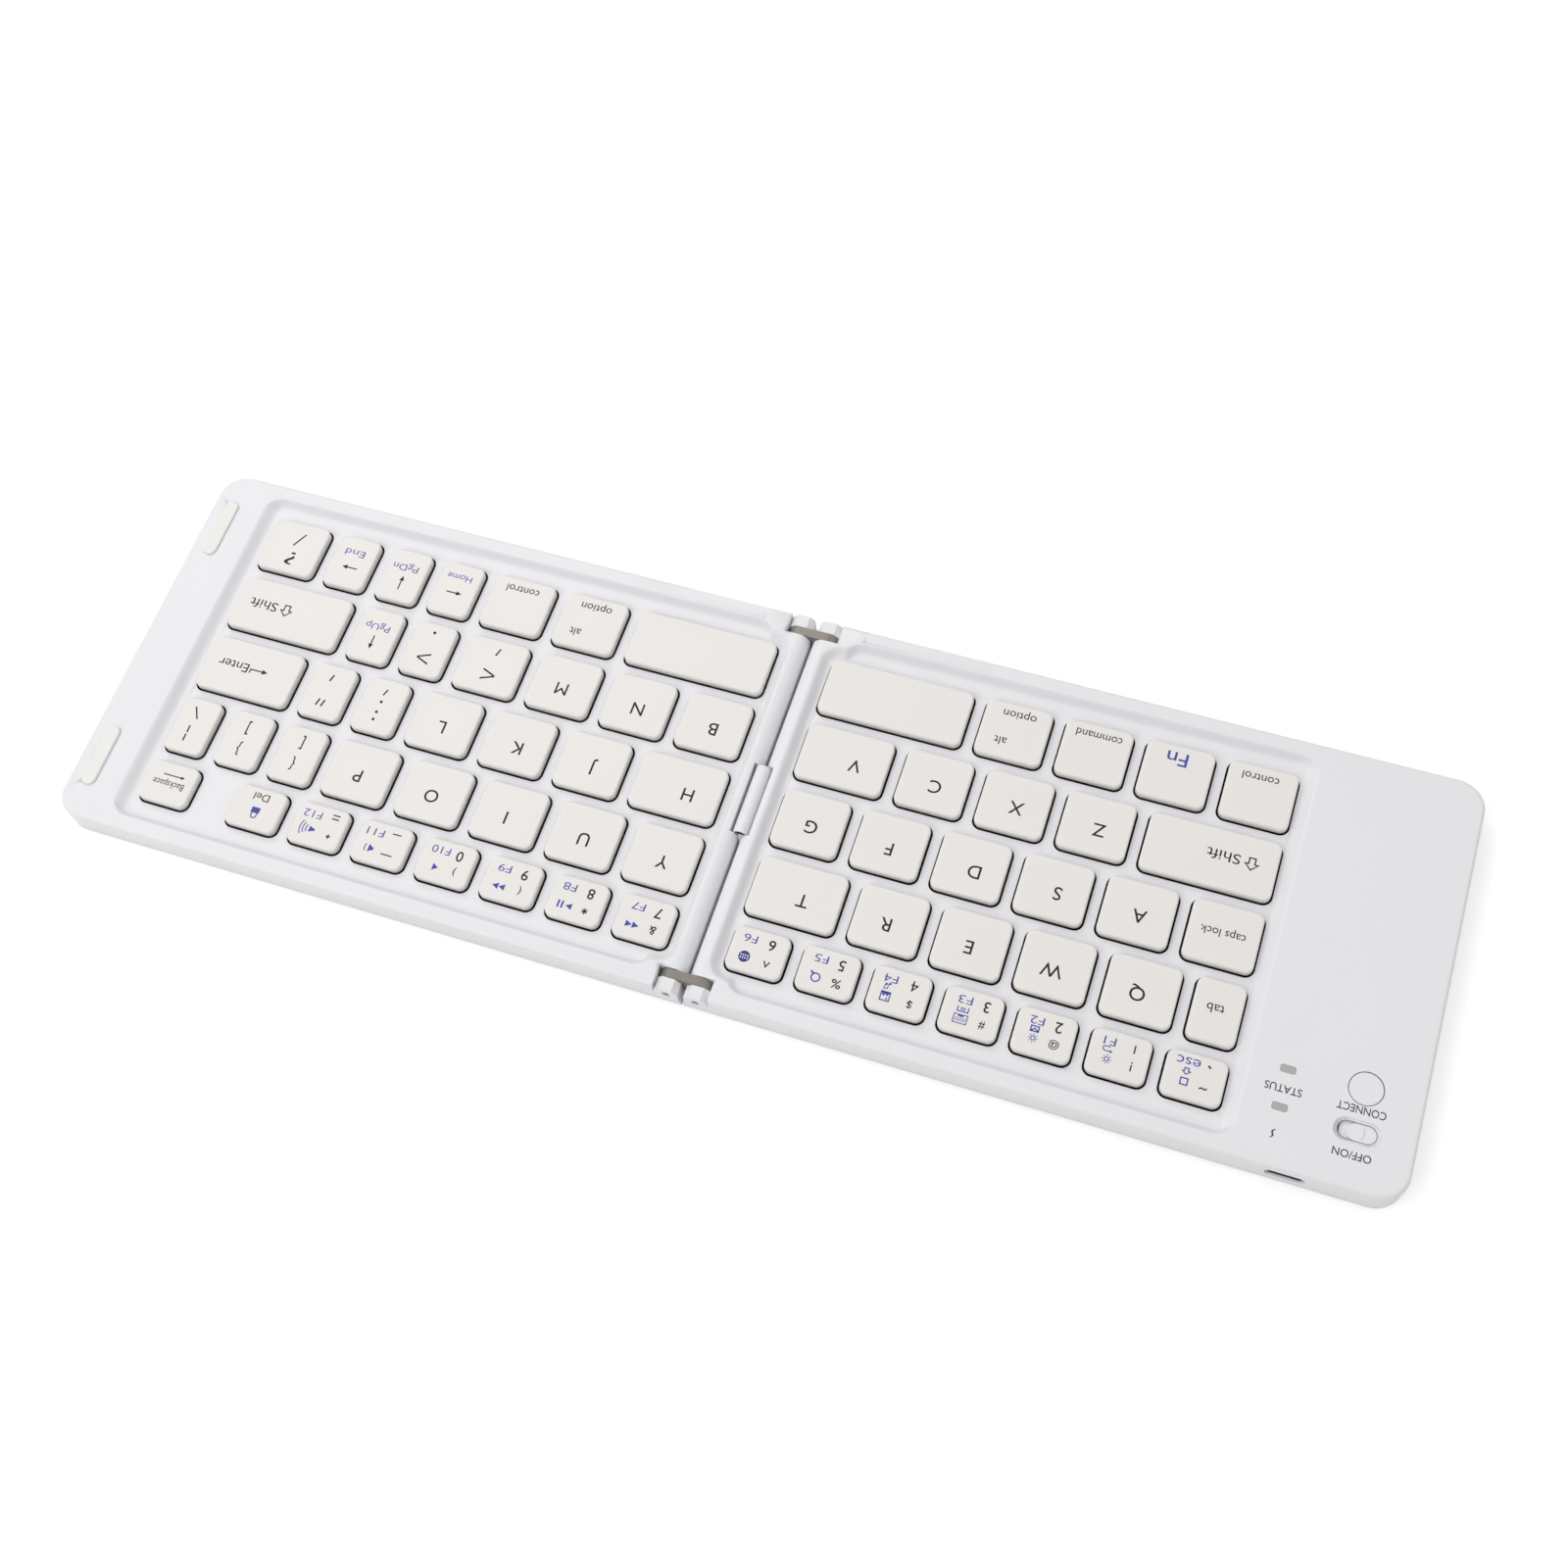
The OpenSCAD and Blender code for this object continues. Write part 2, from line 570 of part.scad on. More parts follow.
module left_top_cover() color([0.91, 0.91, 0.93]) top_cover(-1);
module right_top_cover() color([0.91, 0.91, 0.93]) top_cover(1);
module left_bottom_cover() color([0.89, 0.89, 0.91]) bottom_cover(-1);
module right_bottom_cover() color([0.89, 0.89, 0.91]) bottom_cover(1);

// ---------- key mechanism ----------

plate_u0 = notch_u + wall + 0.4;

// Outline of a half's key plate, or of the film on it.
module plate_outline(side, inset) {
    u1 = (side < 0 ? left_deck_end : right_deck_end) + 0.6 - inset;
    translate([plate_u0 + inset, -shelf_y + 0.3 + inset]) square([u1 - plate_u0 - inset, 2 * (shelf_y - 0.3 - inset)]);
    translate([shelf_u + 0.4 + inset, -deck_y + 1.2 + inset])
        square([u1 - shelf_u - 0.4 - inset, 2 * (deck_y - 1.2 - inset)]);
}

module key_plate(side) {
    color([0.62, 0.63, 0.65]) translate([0, 0, plate_z]) linear_extrude(plate_thick) difference() {
        half(side) plate_outline(side, 0);
        // lightening holes under the domes
        for (k = keys(side)) translate(key_centre(side, k[0], k[1])) circle(dome_radius - 0.8);
    }
}

module left_key_plate() key_plate(-1);
module right_key_plate() key_plate(1);

// Contact film with a rubber dome for each key, and its tail towards the hinge.
module dome_sheet(side) {
    color([0.75, 0.77, 0.78]) {
        translate([0, 0, film_z]) linear_extrude(film_thick) half(side) {
            plate_outline(side, 0.3);
            translate([notch_u + 0.2, -notch_y + 2.3]) square([plate_u0 + 2 - notch_u, 2 * notch_y - 4.6]);
        }
        for (k = keys(side)) translate([each key_centre(side, k[0], k[1]), mech_z - 0.05])
            cylinder(r1 = dome_radius, r2 = dome_top_radius, h = stem_z - mech_z + 0.05);
    }
}

module left_dome_sheet() dome_sheet(-1);
module right_dome_sheet() dome_sheet(1);

// One lever: a frame that leans by the angle which spans the height under the keycap.
module lever(l, w, lean) {
    rotate([0, lean, 0]) difference() {
        cube([l, w, lever_thick], center = true);
        cube([l - 2 * lever_bar, w - 2 * lever_bar, lever_thick + 1], center = true);
    }
}

module scissors(side) {
    h = key_roof_z - mech_z - 0.04;
    lean = asin(h / norm([lever_length, lever_thick])) - atan(lever_thick / lever_length);
    color([0.94, 0.94, 0.93]) for (k = keys(side))
        translate([each key_centre(side, k[0], k[1]), mech_z + 0.02 + h / 2]) {
            lever(lever_length, lever_width, lean);
            lever(lever_length, lever_width - 2 * lever_bar - 0.2, -lean);
        }
}

module left_scissors() scissors(-1);
module right_scissors() scissors(1);

// Keycap of a key, hollow, with the stem that presses its dome.
module key(side, row, i) {
    w = key_w(side, row, i);
    d = key_d(row);
    color([0.925, 0.91, 0.9]) translate([each key_centre(side, row, i), 0]) {
        translate([0, 0, key_foot_z]) difference() {
            pillow(w, d, key_height, key_radius, key_round);
            translate([key_wall - w / 2, key_wall - d / 2, -1])
                cube([w - 2 * key_wall, d - 2 * key_wall, key_height - key_wall + 1]);
        }
        translate([0, 0, stem_z]) cylinder(r = dome_top_radius, h = stem_length + key_wall / 2);
    }
}

module key_group(side, list) for (k = list) key(side, k[0], k[1]);

// ---------- hinge ----------

module hinge_link() {
    color([0.5, 0.49, 0.46]) difference() {
        union() {
            for (s = [-1, 1]) translate([s * pin_u, 0, pin_z]) y_rod(link_radius, link_y, link_y + link_thick);
            translate([-pin_u, link_y, pin_z - link_radius]) cube([2 * pin_u, link_thick, 2 * link_radius]);
        }
        for (s = [-1, 1]) translate([s * pin_u, 0, pin_z])
            y_rod(pin_radius + pin_clearance, link_y - 1, link_y + link_thick + 1);
    }
}

module hinge_link_back() hinge_link();
module hinge_link_front() mirror([0, 1, 0]) hinge_link();

module hinge_pins(side) {
    color([0.6, 0.6, 0.61]) half(side) back_and_front() translate([pin_u, 0, pin_z]) difference() {
        y_rod(pin_radius, pin_in_y, depth / 2 - 0.25);
        y_rod(pin_radius / 2, depth / 2 - 0.85, depth / 2, 6);
    }
}

module left_hinge_pins() hinge_pins(-1);
module right_hinge_pins() hinge_pins(1);

// Sleeve over the cable, slit along its underside where the cable leaves it.
module cable_sleeve() {
    bore = sleeve_radius - sleeve_wall;
    color([0.92, 0.92, 0.93]) translate([0, 0, sleeve_z]) difference() {
        y_rod(sleeve_radius, -sleeve_length / 2, sleeve_length / 2);
        y_rod(bore, -sleeve_length / 2 - 1, sleeve_length / 2 + 1);
        translate([-bore / 2, -sleeve_length / 2 - 1, -2 * sleeve_radius]) cube([bore, sleeve_length + 2, 2 * sleeve_radius]);
    }
}

// The stretch of the cable that is rolled up inside the sleeve.
module flex_cable() {
    r = sleeve_radius - sleeve_wall - 0.1;
    color([0.25, 0.2, 0.16]) translate([0, 0, sleeve_z]) difference() {
        y_rod(r, 0.6 - sleeve_length / 2, sleeve_length / 2 - 0.6);
        y_rod(r / 3, -sleeve_length, sleeve_length);
    }
}

// ---------- electronics and controls ----------

board_u0 = left_deck_end + end_slope + wall + 1;
board_u1 = half_width - wall - 1.2;
board_y0 = depth / 2 - board_reach;
board_y1 = foot_y - head_radius - 1.4;
board_post_u = [board_u0 + 2, board_u1 - 2];
board_post_y = [board_y0 + 2, board_y1 - 2];
switch_body_z = panel_under_z - 1.3;
button_foot_z = panel_under_z - seat_gap - 0.4;

// Circuit board with its chips, switches, lights and the plug for the battery.
module main_board() {
    color([0.12, 0.32, 0.2]) half(-1) {
        translate([0, 0, board_z]) linear_extrude(board_thick) difference() {
            union() {
                translate([board_u0, board_y0]) square([board_u1 - board_u0, board_y1 - board_y0]);
                translate([usb_u - usb_width / 2 - 1, board_y1 - 1])
                    square([usb_width + 2, cavity_y - 0.4 - board_y1 + 1]);
            }
            for (u = board_post_u, y = board_post_y) translate([u, y]) circle(0.7);
        }
    }
    color([0.14, 0.14, 0.15]) half(-1) {
        // slide switch and press switch under their controls
        translate([control_u - switch_body / 2, switch_y - switch_width / 2 + 0.15, board_top_z])
            cube([switch_body, switch_width - 0.3, switch_body_z - board_top_z]);
        translate([control_u - press_body / 2, button_y - press_body / 2, board_top_z])
            cube([press_body, press_body, button_foot_z - button_travel - 0.4 - board_top_z]);
        translate([control_u, button_y, board_top_z])
            cylinder(r = 1.4, h = button_foot_z - button_travel - 0.05 - board_top_z);
        // lights under their windows
        for (y = light_y) translate([light_u - 0.8, y - 0.5, board_top_z]) cube([1.6, 1, 0.6]);
        // radio and controller chips
        translate([light_u + 4.4, button_y - 2, board_top_z]) cube([chip_size, chip_size, 0.9]);
        translate([light_u + 4.6, switch_y - 2, board_top_z]) cube([0.8 * chip_size, 0.8 * chip_size, 0.8]);
        translate([light_u + 1, board_y0 + 0.6, board_top_z]) cube([plug_length, 2.2, 1.4]);
    }
}

module battery() {
    w = board_u1 - board_u0;
    y1 = board_y0 - 1.5;
    color([0.7, 0.71, 0.74]) half(-1)
        translate([(board_u0 + board_u1) / 2, y1 - battery_length / 2, floor_z])
            pillow(w, battery_length, battery_thick, 1.4, 0.8);
}

module usb_port() {
    l = 5;
    back = depth / 2 - 0.35;
    color([0.72, 0.72, 0.74]) half(-1) translate([usb_u, back, board_top_z + usb_height / 2]) rotate([90, 0, 0]) {
        linear_extrude(l) difference() {
            round_rect(usb_width, usb_height, 0.8);
            round_rect(usb_width - 0.6, usb_height - 0.6, 0.5);
        }
        translate([0, 0, l - 0.8]) linear_extrude(0.8) round_rect(usb_width, usb_height, 0.8);
        translate([-usb_width / 4, -0.1, 1]) cube([usb_width / 2, 0.5, l - 1]);
    }
}

knob_length = switch_slot - switch_travel - 0.1;
foot_top_z = panel_under_z + foot_lift - seat_gap;

// Knob of the power switch, at the off end of its slot, with the foot that holds it in.
module power_switch() {
    color([0.93, 0.93, 0.94]) half(-1) translate([control_u + (switch_slot - knob_length) / 2 - 0.05, switch_y, 0]) {
        translate([0, 0, foot_top_z - 0.2]) linear_extrude(rim_z - 0.3 - foot_top_z + 0.2)
            pill(knob_length, switch_width - 0.2);
        translate([-0.3, -switch_width / 2 + 0.8, rim_z - 0.5]) cube([0.6, switch_width - 1.6, 0.45]);
        translate([-knob_length / 2 - 1, -switch_width / 2 - 0.6, foot_top_z - 0.5])
            cube([knob_length + 2, switch_width + 1.2, 0.5]);
        translate([-0.7, -0.7, switch_body_z + 0.05]) cube([1.4, 1.4, foot_top_z - 0.3 - switch_body_z]);
    }
}

module connect_button() {
    color([0.93, 0.93, 0.94]) half(-1) translate([control_u, button_y, 0]) {
        translate([0, 0, button_foot_z]) cylinder(r = button_radius + 0.6, h = 0.4);
        translate([0, 0, button_foot_z + 0.2]) rotate_extrude() {
            square([button_radius - 0.3, rim_z - button_foot_z - 0.2]);
            square([button_radius, rim_z - button_foot_z - 0.5]);
            translate([button_radius - 0.3, rim_z - button_foot_z - 0.5]) circle(0.3);
        }
    }
}

// Light guides that fill the panel's two windows and stand over the lights.
module status_lights() {
    color([0.67, 0.7, 0.69]) half(-1) for (y = light_y) translate([light_u, y, board_top_z + 0.65]) {
        linear_extrude(rim_z - 0.05 - board_top_z - 0.65)
            round_rect(light_length - 0.1, light_width - 0.1, light_corner - 0.05);
        translate([-light_length / 2 - 0.6, -light_width / 2 - 0.6, panel_under_z - 0.65 - board_top_z - 0.6])
            cube([light_length + 1.2, light_width + 1.2, 0.6]);
    }
}

// ---------- feet, pads and screws ----------

pad_height = hinge_gap - pad_clearance + 0.4;
pad_z = rim_z - 0.4;

module bumper_pads() {
    color([0.94, 0.94, 0.925]) back_and_front() translate([half_width - pad_inset, pad_offset, pad_z])
        rotate(90) pad();
}

// A pad with half-round ends and a softened top edge.
module pad() {
    e = 0.3;
    r = pad_width / 2;
    translate([r - pad_length / 2, -r + e, 0]) cube([pad_length - 2 * r, pad_width - 2 * e, pad_height]);
    for (mx = [0, 1]) mirror([mx, 0, 0]) translate([pad_length / 2 - r, 0, 0]) rotate([0, 0, -90])
        rotate_extrude(angle = 180) edge_section(r, pad_height, e);
    for (my = [0, 1]) mirror([0, my, 0]) translate([r - pad_length / 2, 0, 0]) rotate([90, 0, 90])
        linear_extrude(pad_length - 2 * r) edge_section(r, pad_height, e);
}

module feet(side) {
    color([0.86, 0.86, 0.87]) half(side) for (u = foot_u) back_and_front() translate([u, foot_y, 0])
        cylinder(r = foot_radius, h = under_z + foot_seat);
}

module left_feet() feet(-1);
module right_feet() feet(1);

module screws(side) {
    color([0.55, 0.55, 0.57]) half(side) for (u = screw_u) back_and_front() translate([u, foot_y, 0]) difference() {
        union() {
            translate([0, 0, screw_z - 0.55]) cylinder(r = head_radius, h = 0.55);
            translate([0, 0, screw_z - 0.1]) cylinder(r = screw_radius - 0.03, h = screw_length + 0.1);
        }
        translate([0, 0, screw_z - 0.65]) for (a = [0, 90]) rotate(a) cube([1.6, 0.4, 0.7], center = true);
    }
}

module left_screws() screws(-1);
module right_screws() screws(1);

// ---------- nodes ----------

left_top_cover();
left_bottom_cover();
right_top_cover();
right_bottom_cover();
left_key_plate();
right_key_plate();
left_dome_sheet();
right_dome_sheet();
left_scissors();
right_scissors();
hinge_link_back();
hinge_link_front();
left_hinge_pins();
right_hinge_pins();
cable_sleeve();
flex_cable();
main_board();
battery();
usb_port();
power_switch();
connect_button();
status_lights();
bumper_pads();
left_feet();
right_feet();
left_screws();
right_screws();
key(-1, 1, 1);  // key_q
key(-1, 1, 2);  // key_w
key(-1, 1, 3);  // key_e
key(-1, 1, 4);  // key_r
key(-1, 1, 5);  // key_t
key(1, 1, 0);  // key_y
key(1, 1, 1);  // key_u
key(1, 1, 2);  // key_i
key(1, 1, 3);  // key_o
key(1, 1, 4);  // key_p
key(-1, 2, 1);  // key_a
key(-1, 2, 2);  // key_s
key(-1, 2, 3);  // key_d
key(-1, 2, 4);  // key_f
key(-1, 2, 5);  // key_g
key(1, 2, 0);  // key_h
key(1, 2, 1);  // key_j
key(1, 2, 2);  // key_k
key(1, 2, 3);  // key_l
key(-1, 3, 1);  // key_z
key(-1, 3, 2);  // key_x
key(-1, 3, 3);  // key_c
key(-1, 3, 4);  // key_v
key(1, 3, 0);  // key_b
key(1, 3, 1);  // key_n
key(1, 3, 2);  // key_m
key(-1, 4, 4);  // left_space_bar
key(1, 4, 0);  // right_space_bar
key_group(-1, [for (i = [0:6]) [0, i]]);  // left_number_keys
/* right_number_keys */ key_group(1, [for (i = [0:8]) if (i != bare_index) [0, i]]);
key_group(-1, [[1, 0], [2, 0], [3, 0], [4, 0], [4, 1], [4, 2], [4, 3]]);  // left_modifier_keys
key_group(1, [[2, 6], [3, 5], [3, 6], [4, 1], [4, 2], [4, 3], [4, 4], [4, 5]]);  // right_modifier_keys
key_group(1, [[1, 5], [1, 6], [1, 7], [2, 4], [2, 5], [3, 3], [3, 4], [4, 6]]);  // right_punctuation_keys
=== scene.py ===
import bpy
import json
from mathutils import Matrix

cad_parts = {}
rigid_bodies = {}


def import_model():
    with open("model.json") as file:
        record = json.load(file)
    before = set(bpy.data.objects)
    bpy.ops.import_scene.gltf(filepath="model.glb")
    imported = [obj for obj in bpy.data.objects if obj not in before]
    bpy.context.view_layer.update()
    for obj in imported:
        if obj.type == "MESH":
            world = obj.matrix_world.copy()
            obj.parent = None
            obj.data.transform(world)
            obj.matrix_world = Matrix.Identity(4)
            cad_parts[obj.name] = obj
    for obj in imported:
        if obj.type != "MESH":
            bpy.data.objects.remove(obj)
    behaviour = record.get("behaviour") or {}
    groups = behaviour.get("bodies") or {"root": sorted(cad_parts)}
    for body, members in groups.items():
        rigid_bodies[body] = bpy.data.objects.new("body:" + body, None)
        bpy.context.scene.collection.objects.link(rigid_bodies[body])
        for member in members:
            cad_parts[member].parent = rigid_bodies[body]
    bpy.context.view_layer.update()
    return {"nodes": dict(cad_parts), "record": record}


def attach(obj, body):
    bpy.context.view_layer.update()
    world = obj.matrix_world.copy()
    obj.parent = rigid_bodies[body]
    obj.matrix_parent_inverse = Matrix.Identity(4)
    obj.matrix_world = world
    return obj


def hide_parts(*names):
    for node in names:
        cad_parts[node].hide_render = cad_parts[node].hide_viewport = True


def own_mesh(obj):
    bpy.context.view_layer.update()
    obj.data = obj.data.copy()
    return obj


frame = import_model()

import json
import math

import bmesh
import bpy
import numpy as np
from mathutils import Euler

MM = 0.001
nodes, record = frame["nodes"], frame["record"]
body_of = {node: body for body, members in record["behaviour"]["bodies"].items() for node in members}
parent_of = {joint["child"]: joint["parent"] for joint in record["behaviour"]["joints"]}
slot_of = {part["node"]: part["material_slot"] for part in record["subparts"]}

# heights of the solids over the table, in millimetres
PANEL_TOP, KEY_TOP, DECK_TOP, KEY_FOOT, KEY_ROOF = 8.0, 7.9, 6.0, 4.9, 7.0


# ---------- shader groups ----------

class Graph:
    """A node tree with short calls: each makes a node, sets or links its inputs and gives back
    its first output."""

    def __init__(self, tree):
        self.tree, self.nodes, self.link = tree, tree.nodes, tree.links.new

    def node(self, kind, inputs=(), **settings):
        n = self.nodes.new(kind)
        for key, value in settings.items():
            setattr(n, key, value)
        for key, value in dict(inputs).items():
            if hasattr(value, "is_linked"):
                self.link(value, n.inputs[key])
            else:
                n.inputs[key].default_value = value
        return n

    def math(self, operation, *values):
        return self.node("ShaderNodeMath", enumerate(values), operation=operation).outputs[0]

    def noise(self, vector, scale, detail=2.0):
        inputs = {"Vector": vector, "Scale": scale, "Detail": detail}
        return self.node("ShaderNodeTexNoise", inputs).outputs["Fac"]

    def smooth(self, value, low, high, start=0.0, end=1.0):
        inputs = {"Value": value, "From Min": low, "From Max": high, "To Min": start, "To Max": end}
        return self.node("ShaderNodeMapRange", inputs, interpolation_type="SMOOTHSTEP").outputs[0]

    def vector(self, operation, inputs):
        return self.node("ShaderNodeVectorMath", inputs, operation=operation).outputs[0]

    def place(self):
        """The point's own place on its object, in metres."""
        return self.node("ShaderNodeTexCoord").outputs["Object"]

    def axes(self):
        return self.node("ShaderNodeSeparateXYZ", {0: self.place()}).outputs

    def blend(self, factor, a, b):
        n = self.node("ShaderNodeMix", data_type="RGBA")
        for socket_in, value in zip((n.inputs[0], n.inputs[6], n.inputs[7]), (factor, a, b)):
            if hasattr(value, "is_linked"):
                self.link(value, socket_in)
            else:
                socket_in.default_value = value
        return n.outputs[2]


def group(name, inputs, outputs):
    """An empty node group with named inputs (name, kind, value) and outputs (name, kind)."""
    tree = bpy.data.node_groups.new(name, "ShaderNodeTree")
    for label, kind, value in inputs:
        socket = tree.interface.new_socket(name=label, in_out="INPUT", socket_type="NodeSocket" + kind)
        socket.default_value = value
    for label, kind in outputs:
        tree.interface.new_socket(name=label, in_out="OUTPUT", socket_type="NodeSocket" + kind)
    g = Graph(tree)
    return g, g.node("NodeGroupInput").outputs, g.node("NodeGroupOutput").inputs


def moulded_group():
    """Moulded plastic: fine grain and a broad cloudy tone, rubbed smoother and a touch warmer
    where it is worn."""
    g, given, out = group("moulded_texture", [
        ("Colour", "Color", (0.8, 0.8, 0.8, 1)), ("Grain scale", "Float", 4000.0), ("Tone", "Float", 0.03),
        ("Roughness", "Float", 0.5), ("Wear", "Float", 0.0)],
        [("Colour", "Color"), ("Roughness", "Float"), ("Height", "Float")])
    where = g.place()
    grain = g.noise(where, given["Grain scale"])
    tone = g.math("MULTIPLY", g.math("SUBTRACT", g.noise(where, 45.0, 3.0), 0.5), given["Tone"])
    rubbed = g.math("MULTIPLY", given["Wear"], g.smooth(g.noise(where, 700.0, 4.0), 0.3, 0.62, 0.45, 1.0))
    shade = g.vector("SCALE", {0: given["Colour"], "Scale": g.math("ADD", tone, 1.0)})
    warm = g.vector("MULTIPLY", {0: shade, 1: (1.0, 0.985, 0.955)})
    g.link(g.blend(g.math("MULTIPLY", rubbed, 0.5), shade, warm), out["Colour"])
    rough = g.math("ADD", given["Roughness"], tone)
    g.link(g.math("SUBTRACT", rough, g.math("MULTIPLY", rubbed, 0.14)), out["Roughness"])
    g.link(g.math("MULTIPLY", grain, g.math("SUBTRACT", 1.0, g.math("MULTIPLY", rubbed, 0.5))), out["Height"])
    return g.tree


def rim_group():
    """How near a point is to the case's outline: 1 along the edge, falling to 0 at the band's width.
    The distance to the round-cornered rectangle is the length of what stands past the corners'
    centres, less their radius."""
    g, given, out = group("rim_band", [
        ("Half length", "Float", 0.152), ("Half depth", "Float", 0.04775), ("Corner", "Float", 0.0065),
        ("Width", "Float", 0.0012)], [("Mask", "Float")])
    xyz = g.axes()
    centres = [g.math("SUBTRACT", given[half], given["Corner"]) for half in ("Half length", "Half depth")]
    over = [g.math("MAXIMUM", g.math("SUBTRACT", g.math("ABSOLUTE", at), centre), 0.0)
            for at, centre in zip(xyz, centres)]
    squares = [g.math("MULTIPLY", part, part) for part in over]
    far = g.math("SQRT", g.math("ADD", *squares))
    inside = g.math("DIVIDE", g.math("SUBTRACT", given["Corner"], far), given["Width"])
    near = g.smooth(inside, 0.3, 1.0, 1.0, 0.0)
    g.link(g.math("MULTIPLY", near, g.smooth(xyz[2], 0.006, 0.0074)), out["Mask"])
    return g.tree


def hollow_group():
    """Two masks of the key deck, where painted shade goes: what lies below its top, inside the case
    (painted near black), and the crease at the foot of its slopes (tinted for dust and shade)."""
    g, given, out = group("key_deck", [
        ("Low x", "Float", -0.1142), ("High x", "Float", 0.1366), ("Half depth", "Float", 0.0426),
        ("Half hinge", "Float", 0.0048), ("Deck", "Float", DECK_TOP * MM)],
        [("Inside", "Float"), ("Crease", "Float")])
    xyz = g.axes()
    past_y = g.math("SUBTRACT", given["Half depth"], g.math("ABSOLUTE", xyz[1]))
    past_low = g.math("SUBTRACT", xyz[0], given["Low x"])
    past_high = g.math("SUBTRACT", given["High x"], xyz[0])
    past_x = g.math("MINIMUM", past_low, past_high)
    past_hinge = g.math("SUBTRACT", g.math("ABSOLUTE", xyz[0]), given["Half hinge"])
    deep = g.math("MINIMUM", g.math("MINIMUM", past_y, past_x), past_hinge)
    low = g.math("SUBTRACT", given["Deck"], xyz[2])
    inside = g.math("GREATER_THAN", deep, 0.0002)
    g.link(g.math("MULTIPLY", inside, g.math("GREATER_THAN", low, 0.00004)), out["Inside"])
    near = g.smooth(g.math("ABSOLUTE", g.math("MINIMUM", past_y, past_x)), 0.0, 0.0013, 1.0, 0.0)
    g.link(g.math("MULTIPLY", near, g.smooth(xyz[2], 0.0066, 0.0074, 1.0, 0.0)), out["Crease"])
    return g.tree


MOULDED, RIM, HOLLOW = moulded_group(), rim_group(), hollow_group()


GRAIN_DEPTH = 0.02 * MM
# painted shade and dust: the crease at the foot of the deck's slopes is tinted a little towards the grey
# below; the near black below is painted shade inside the case, under the key deck
CREASE_TINT = 0.03
DUST_AND_SHADE, INSIDE_SHADE = (0.66, 0.655, 0.66), (0.06, 0.06, 0.065)


def linear(srgb):
    """The linear value of each part of a colour written as it shows on a screen."""
    return tuple(c / 12.92 if c <= 0.04045 else ((c + 0.055) / 1.055) ** 2.4 for c in srgb) + (1.0,)


def plastic(name, srgb, roughness=0.45, grain=4000.0, tone=0.03, depth=0.15, metallic=0.0, coat=0.0,
            wear=None, case=False):
    """A material whose colour, roughness and bump come from the moulded texture. `wear` names an
    attribute that says where it is rubbed; a `case` is rubbed along its rim, painted near black as
    shade inside, under the key deck, and tinted for dust and shade in the crease at the foot of its
    slopes."""
    mat = bpy.data.materials.new(name)
    mat.use_nodes = True
    g = Graph(mat.node_tree)
    bsdf = g.nodes["Principled BSDF"]
    moulded = g.node("ShaderNodeGroup", node_tree=MOULDED)
    given = {"Colour": linear(srgb), "Grain scale": grain, "Tone": tone, "Roughness": roughness}
    for key, value in given.items():
        moulded.inputs[key].default_value = value
    height = moulded.outputs["Height"]
    bump = g.node("ShaderNodeBump", {"Strength": depth, "Distance": GRAIN_DEPTH, "Height": height})
    colour = moulded.outputs["Colour"]
    if wear:
        g.link(g.node("ShaderNodeAttribute", attribute_name=wear).outputs["Fac"], moulded.inputs["Wear"])
    if case:
        g.link(g.node("ShaderNodeGroup", node_tree=RIM).outputs["Mask"], moulded.inputs["Wear"])
        deck = g.node("ShaderNodeGroup", node_tree=HOLLOW)
        # the crease at the foot of the slopes is tinted a little darker, as dust and as painted shade
        dusted_and_shaded = g.blend(g.math("MULTIPLY", deck.outputs["Crease"], CREASE_TINT), colour, linear(DUST_AND_SHADE))
        # painted shade: under the key deck, inside the case, the colour is near black, standing for the shade
        # deep in the key wells
        colour = g.blend(deck.outputs["Inside"], dusted_and_shaded, linear(INSIDE_SHADE))
    g.link(colour, bsdf.inputs["Base Color"])
    g.link(moulded.outputs["Roughness"], bsdf.inputs["Roughness"])
    g.link(bump.outputs["Normal"], bsdf.inputs["Normal"])
    bsdf.inputs["Specular IOR Level"].default_value = 0.4
    bsdf.inputs["Metallic"].default_value = metallic
    bsdf.inputs["Coat Weight"].default_value = coat
    return mat


CASE = plastic("case_satin", (0.92, 0.92, 0.932), roughness=0.42, case=True)
UNDERSIDE = plastic("underside_texture", (0.905, 0.905, 0.918), roughness=0.55, grain=2500.0, depth=0.3)
CAP = plastic("keycap_matt", (0.927, 0.912, 0.901), roughness=0.5, grain=5000.0, tone=0.02, wear="touch")
# painted shade: the keycaps' faces below the deck's top are painted near black, as the shade in the narrow
# gap round each key
SKIRT_SHADE = plastic("keycap_skirt_shade", (0.08, 0.08, 0.085), roughness=0.7)
PLATE = plastic("key_plate_steel", (0.42, 0.43, 0.45), roughness=0.4, metallic=0.9, tone=0.1)
RUBBER = plastic("dome_rubber", (0.2, 0.2, 0.21), roughness=0.6)
LEVER = plastic("lever_plastic", (0.3, 0.3, 0.31), roughness=0.5)
LINK = plastic("link_metal", (0.56, 0.54, 0.51), roughness=0.45, metallic=0.55, tone=0.15, grain=1500.0)
PIN = plastic("pin_steel", (0.62, 0.62, 0.63), roughness=0.3, metallic=1.0, tone=0.1)
FILM = plastic("cable_film", (0.28, 0.17, 0.1), roughness=0.35, tone=0.1)
BOARD = plastic("board_mask", (0.1, 0.32, 0.2), roughness=0.35, tone=0.1)
FOIL = plastic("battery_foil", (0.7, 0.71, 0.74), roughness=0.35, metallic=0.8, tone=0.1)
PORT = plastic("port_plating", (0.75, 0.75, 0.77), roughness=0.25, metallic=1.0, tone=0.05)
